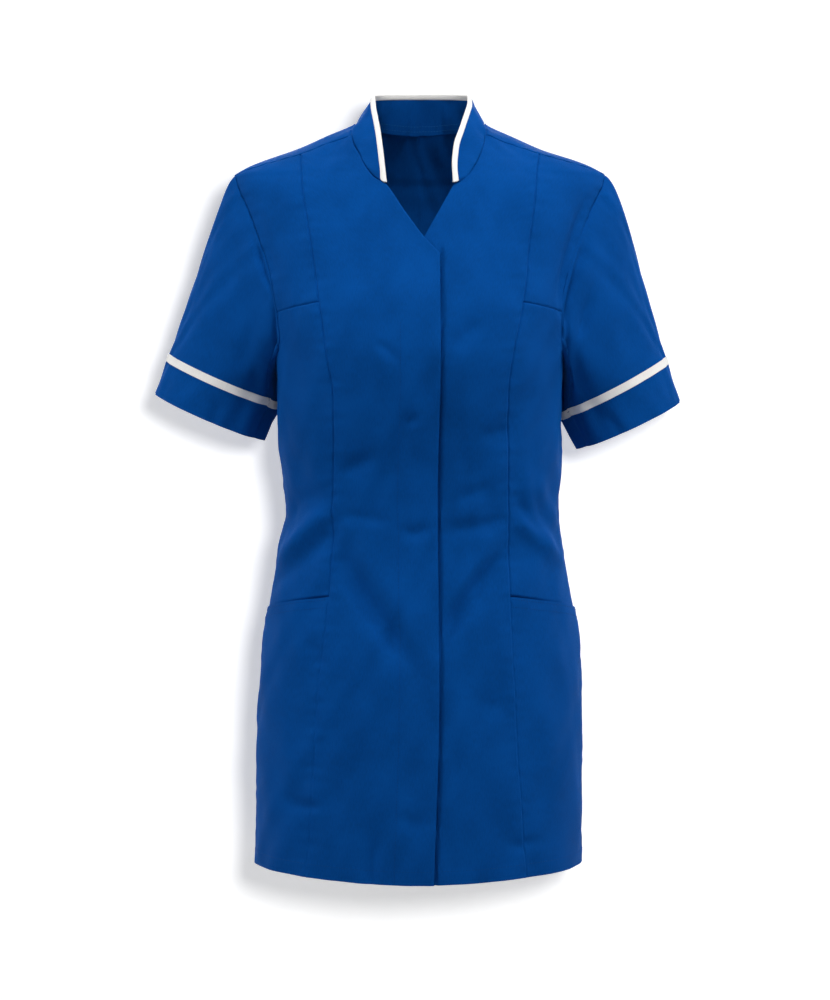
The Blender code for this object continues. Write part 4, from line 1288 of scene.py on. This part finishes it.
def stud_material():
    """Pressed metal with fine turning marks."""
    nodes = Nodes(bpy.data.materials.new("stud_metal_brushed"))
    place = nodes.add("ShaderNodeTexCoord").outputs["Object"]
    marks = nodes.noise(place, 1800.0, 3.0)
    colour = nodes.mixed(marks, (0.52, 0.53, 0.55, 1), (0.68, 0.69, 0.71, 1))
    nodes.look({"Base Color": colour, "Metallic": 1.0, "Roughness": nodes.spread(marks, 0.25, 0.42)})
    return nodes.owner


blue_cloth = cloth_material(
    "blue_cloth_woven",
    light=(0.0019, 0.061, 0.272, 1),
    dark=(0.0013, 0.041, 0.185, 1),
    pitch=0.00046,
    specular=0.03,
    sheen=0.20,
    sheen_tint=(0.02, 0.28, 1.0, 1),
    roughness=0.66,
    weave_bump=0.35,
)
white_trim = cloth_material(
    "white_trim_woven",
    light=(0.82, 0.81, 0.79, 1),
    dark=(0.72, 0.71, 0.69, 1),
    pitch=0.00060,
    specular=0.15,
    sheen=0.05,
    sheen_tint=(1.0, 1.0, 1.0, 1),
    roughness=0.72,
    weave_bump=0.45,
)
blue_thread = thread_material("blue_thread", (0.0014, 0.045, 0.22, 1), (0.0008, 0.026, 0.13, 1))
pale_thread = thread_material("pale_thread", (0.02, 0.12, 0.36, 1), (0.012, 0.08, 0.25, 1))
white_thread = thread_material("white_thread", (0.80, 0.79, 0.77, 1), (0.62, 0.61, 0.59, 1))


# ---------------------------------------------------------------- stage, lights and camera


def stage():
    """A white floor and a white wall behind the garment, seen only from its front."""
    far, wide, up = FLOOR_REACH, WALL_REACH, WALL_TOP
    pieces = []
    for name, corners, wall in (
        ("floor", ((-far, -far, FLOOR), (far, -far, FLOOR), (far, far, FLOOR), (-far, far, FLOOR)), False),
        ("backdrop", ((-wide, WALL, FLOOR), (wide, WALL, FLOOR), (wide, WALL, up), (-wide, WALL, up)), True),
    ):
        mesh = bpy.data.meshes.new(name)
        mesh.from_pydata(corners, [], [(0, 1, 2, 3)])
        made = bpy.data.objects.new(name, mesh)
        bpy.context.scene.collection.objects.link(made)
        mesh.materials.append(stage_material(name, wall))
        pieces.append(made)
    return pieces


def looked_at(nodes):
    """1 for rays that look at a surface, directly, in a gloss or through glass, and 0 for its light."""
    path = nodes.add("ShaderNodeLightPath").outputs
    shown = nodes.math("MAXIMUM", path["Is Camera Ray"], path["Is Glossy Ray"])
    return nodes.math("MAXIMUM", shown, path["Is Transmission Ray"])


def stage_material(name, one_sided):
    nodes = Nodes(bpy.data.materials.new(f"{name}_white"))
    nodes.look(
        {
            "Base Color": (STAGE_WHITE, STAGE_WHITE, STAGE_WHITE, 1),
            "Roughness": 0.9,
            "Specular IOR Level": 0.1,
            "Emission Color": WHITE,
            "Emission Strength": nodes.math("MULTIPLY", looked_at(nodes), STAGE_GLOW),
        }
    )
    if one_sided:
        # From behind it can't be seen, and it throws no shadow on the garment's back
        behind = nodes.add("ShaderNodeNewGeometry").outputs["Backfacing"]
        shadow = nodes.add("ShaderNodeLightPath").outputs["Is Shadow Ray"]
        absent = nodes.math("MAXIMUM", behind, shadow)
        clear = nodes.add("ShaderNodeBsdfTransparent").outputs[0]
        mix = nodes.add("ShaderNodeMixShader", {0: absent, 1: nodes.shader.outputs[0], 2: clear})
        nodes.put(nodes.tree.nodes["Material Output"].inputs[0], mix.outputs[0])
    return nodes.owner


def lamp(light, stage_pieces):
    """A soft round lamp. Light linking keeps it to the stage, or keeps the stage out of it."""
    made = bpy.data.objects.new(light.name, bpy.data.lights.new(light.name, "AREA"))
    made.data.shape = "DISK"
    made.data.size = light.size
    made.data.energy = light.watts
    made.location = light.place
    made.rotation_euler = (Vector(light.target) - Vector(light.place)).to_track_quat("-Z", "Y").to_euler()
    bpy.context.scene.collection.objects.link(made)
    receivers = bpy.data.collections.new(f"{light.name}_receivers")
    for each in stage_pieces:
        receivers.objects.link(each)
    for each in receivers.collection_objects:
        each.light_linking.link_state = "INCLUDE" if light.on_stage else "EXCLUDE"
    made.light_linking.receiver_collection = receivers


def world():
    nodes = Nodes(bpy.data.worlds.new("studio"))
    bpy.context.scene.world = nodes.owner
    fill = nodes.tree.nodes["Background"]
    nodes.put(fill.inputs["Color"], WHITE)
    nodes.put(fill.inputs["Strength"], WORLD_FILL)
    shown = nodes.add("ShaderNodeBackground", {"Color": WHITE, "Strength": 1.0})
    mix = nodes.add("ShaderNodeMixShader", {0: looked_at(nodes), 1: fill.outputs[0], 2: shown.outputs[0]})
    nodes.put(nodes.tree.nodes["World Output"].inputs["Surface"], mix.outputs[0])


def camera():
    """Straight in front of the garment, at the height of its waist."""
    lens = bpy.data.cameras.new("camera")
    lens.lens = CAMERA_LENS
    lens.sensor_width = CAMERA_SENSOR
    made = bpy.data.objects.new("camera", lens)
    made.location = CAMERA_PLACE
    made.rotation_euler = (math.radians(90), 0, 0)
    bpy.context.scene.collection.objects.link(made)
    bpy.context.scene.camera = made


camera()
world()
stage_pieces = stage()
for light in LIGHTS:
    lamp(light, stage_pieces)

front = fronts()
pockets = side_fronts()
rear = back()
tubes = sleeves()
collar_outer, collar_inner = collar()

hems = [edge_line(with_facing(grid), "bottom", HEM_DEPTH) for grid in (front["right"], front["left"], rear)]
hems += [edge_line(with_facing(pockets[side]), "bottom", HEM_DEPTH) for side in SIDES]
stitching("hem_stitching", hems, blue_thread)
mouths = [
    edge_line(with_facing(pockets[side]), "top", distance) for side in SIDES for distance in POCKET_STITCHES
]
stitching("pocket_stitching", mouths, blue_thread)
fly = edge_line(with_facing(front["right"]), "right", FLY_STITCHES)[:ROWS_LOWER]
stitching("fly_stitching", [fly], blue_thread)
inside = with_facing(collar_inner, inside=True)
bands = [edge_line(inside, "bottom", distance) for distance in COLLAR_STITCHES]
stitching("collar_stitching", bands, pale_thread)
trims = [
    edge_line(with_facing(tubes[f"cuff_trim_{side}"], tube=True), edge, TRIM_STITCHES)
    for side in SIDES
    for edge in ("bottom", "top")
]
stitching("cuff_trim_stitching", trims, white_thread)

for name, node in frame["nodes"].items():
    if name.startswith("press_stud"):
        node.data.materials.clear()
        node.data.materials.append(stud_material())

scene = bpy.context.scene
scene.view_settings.view_transform = "Standard"
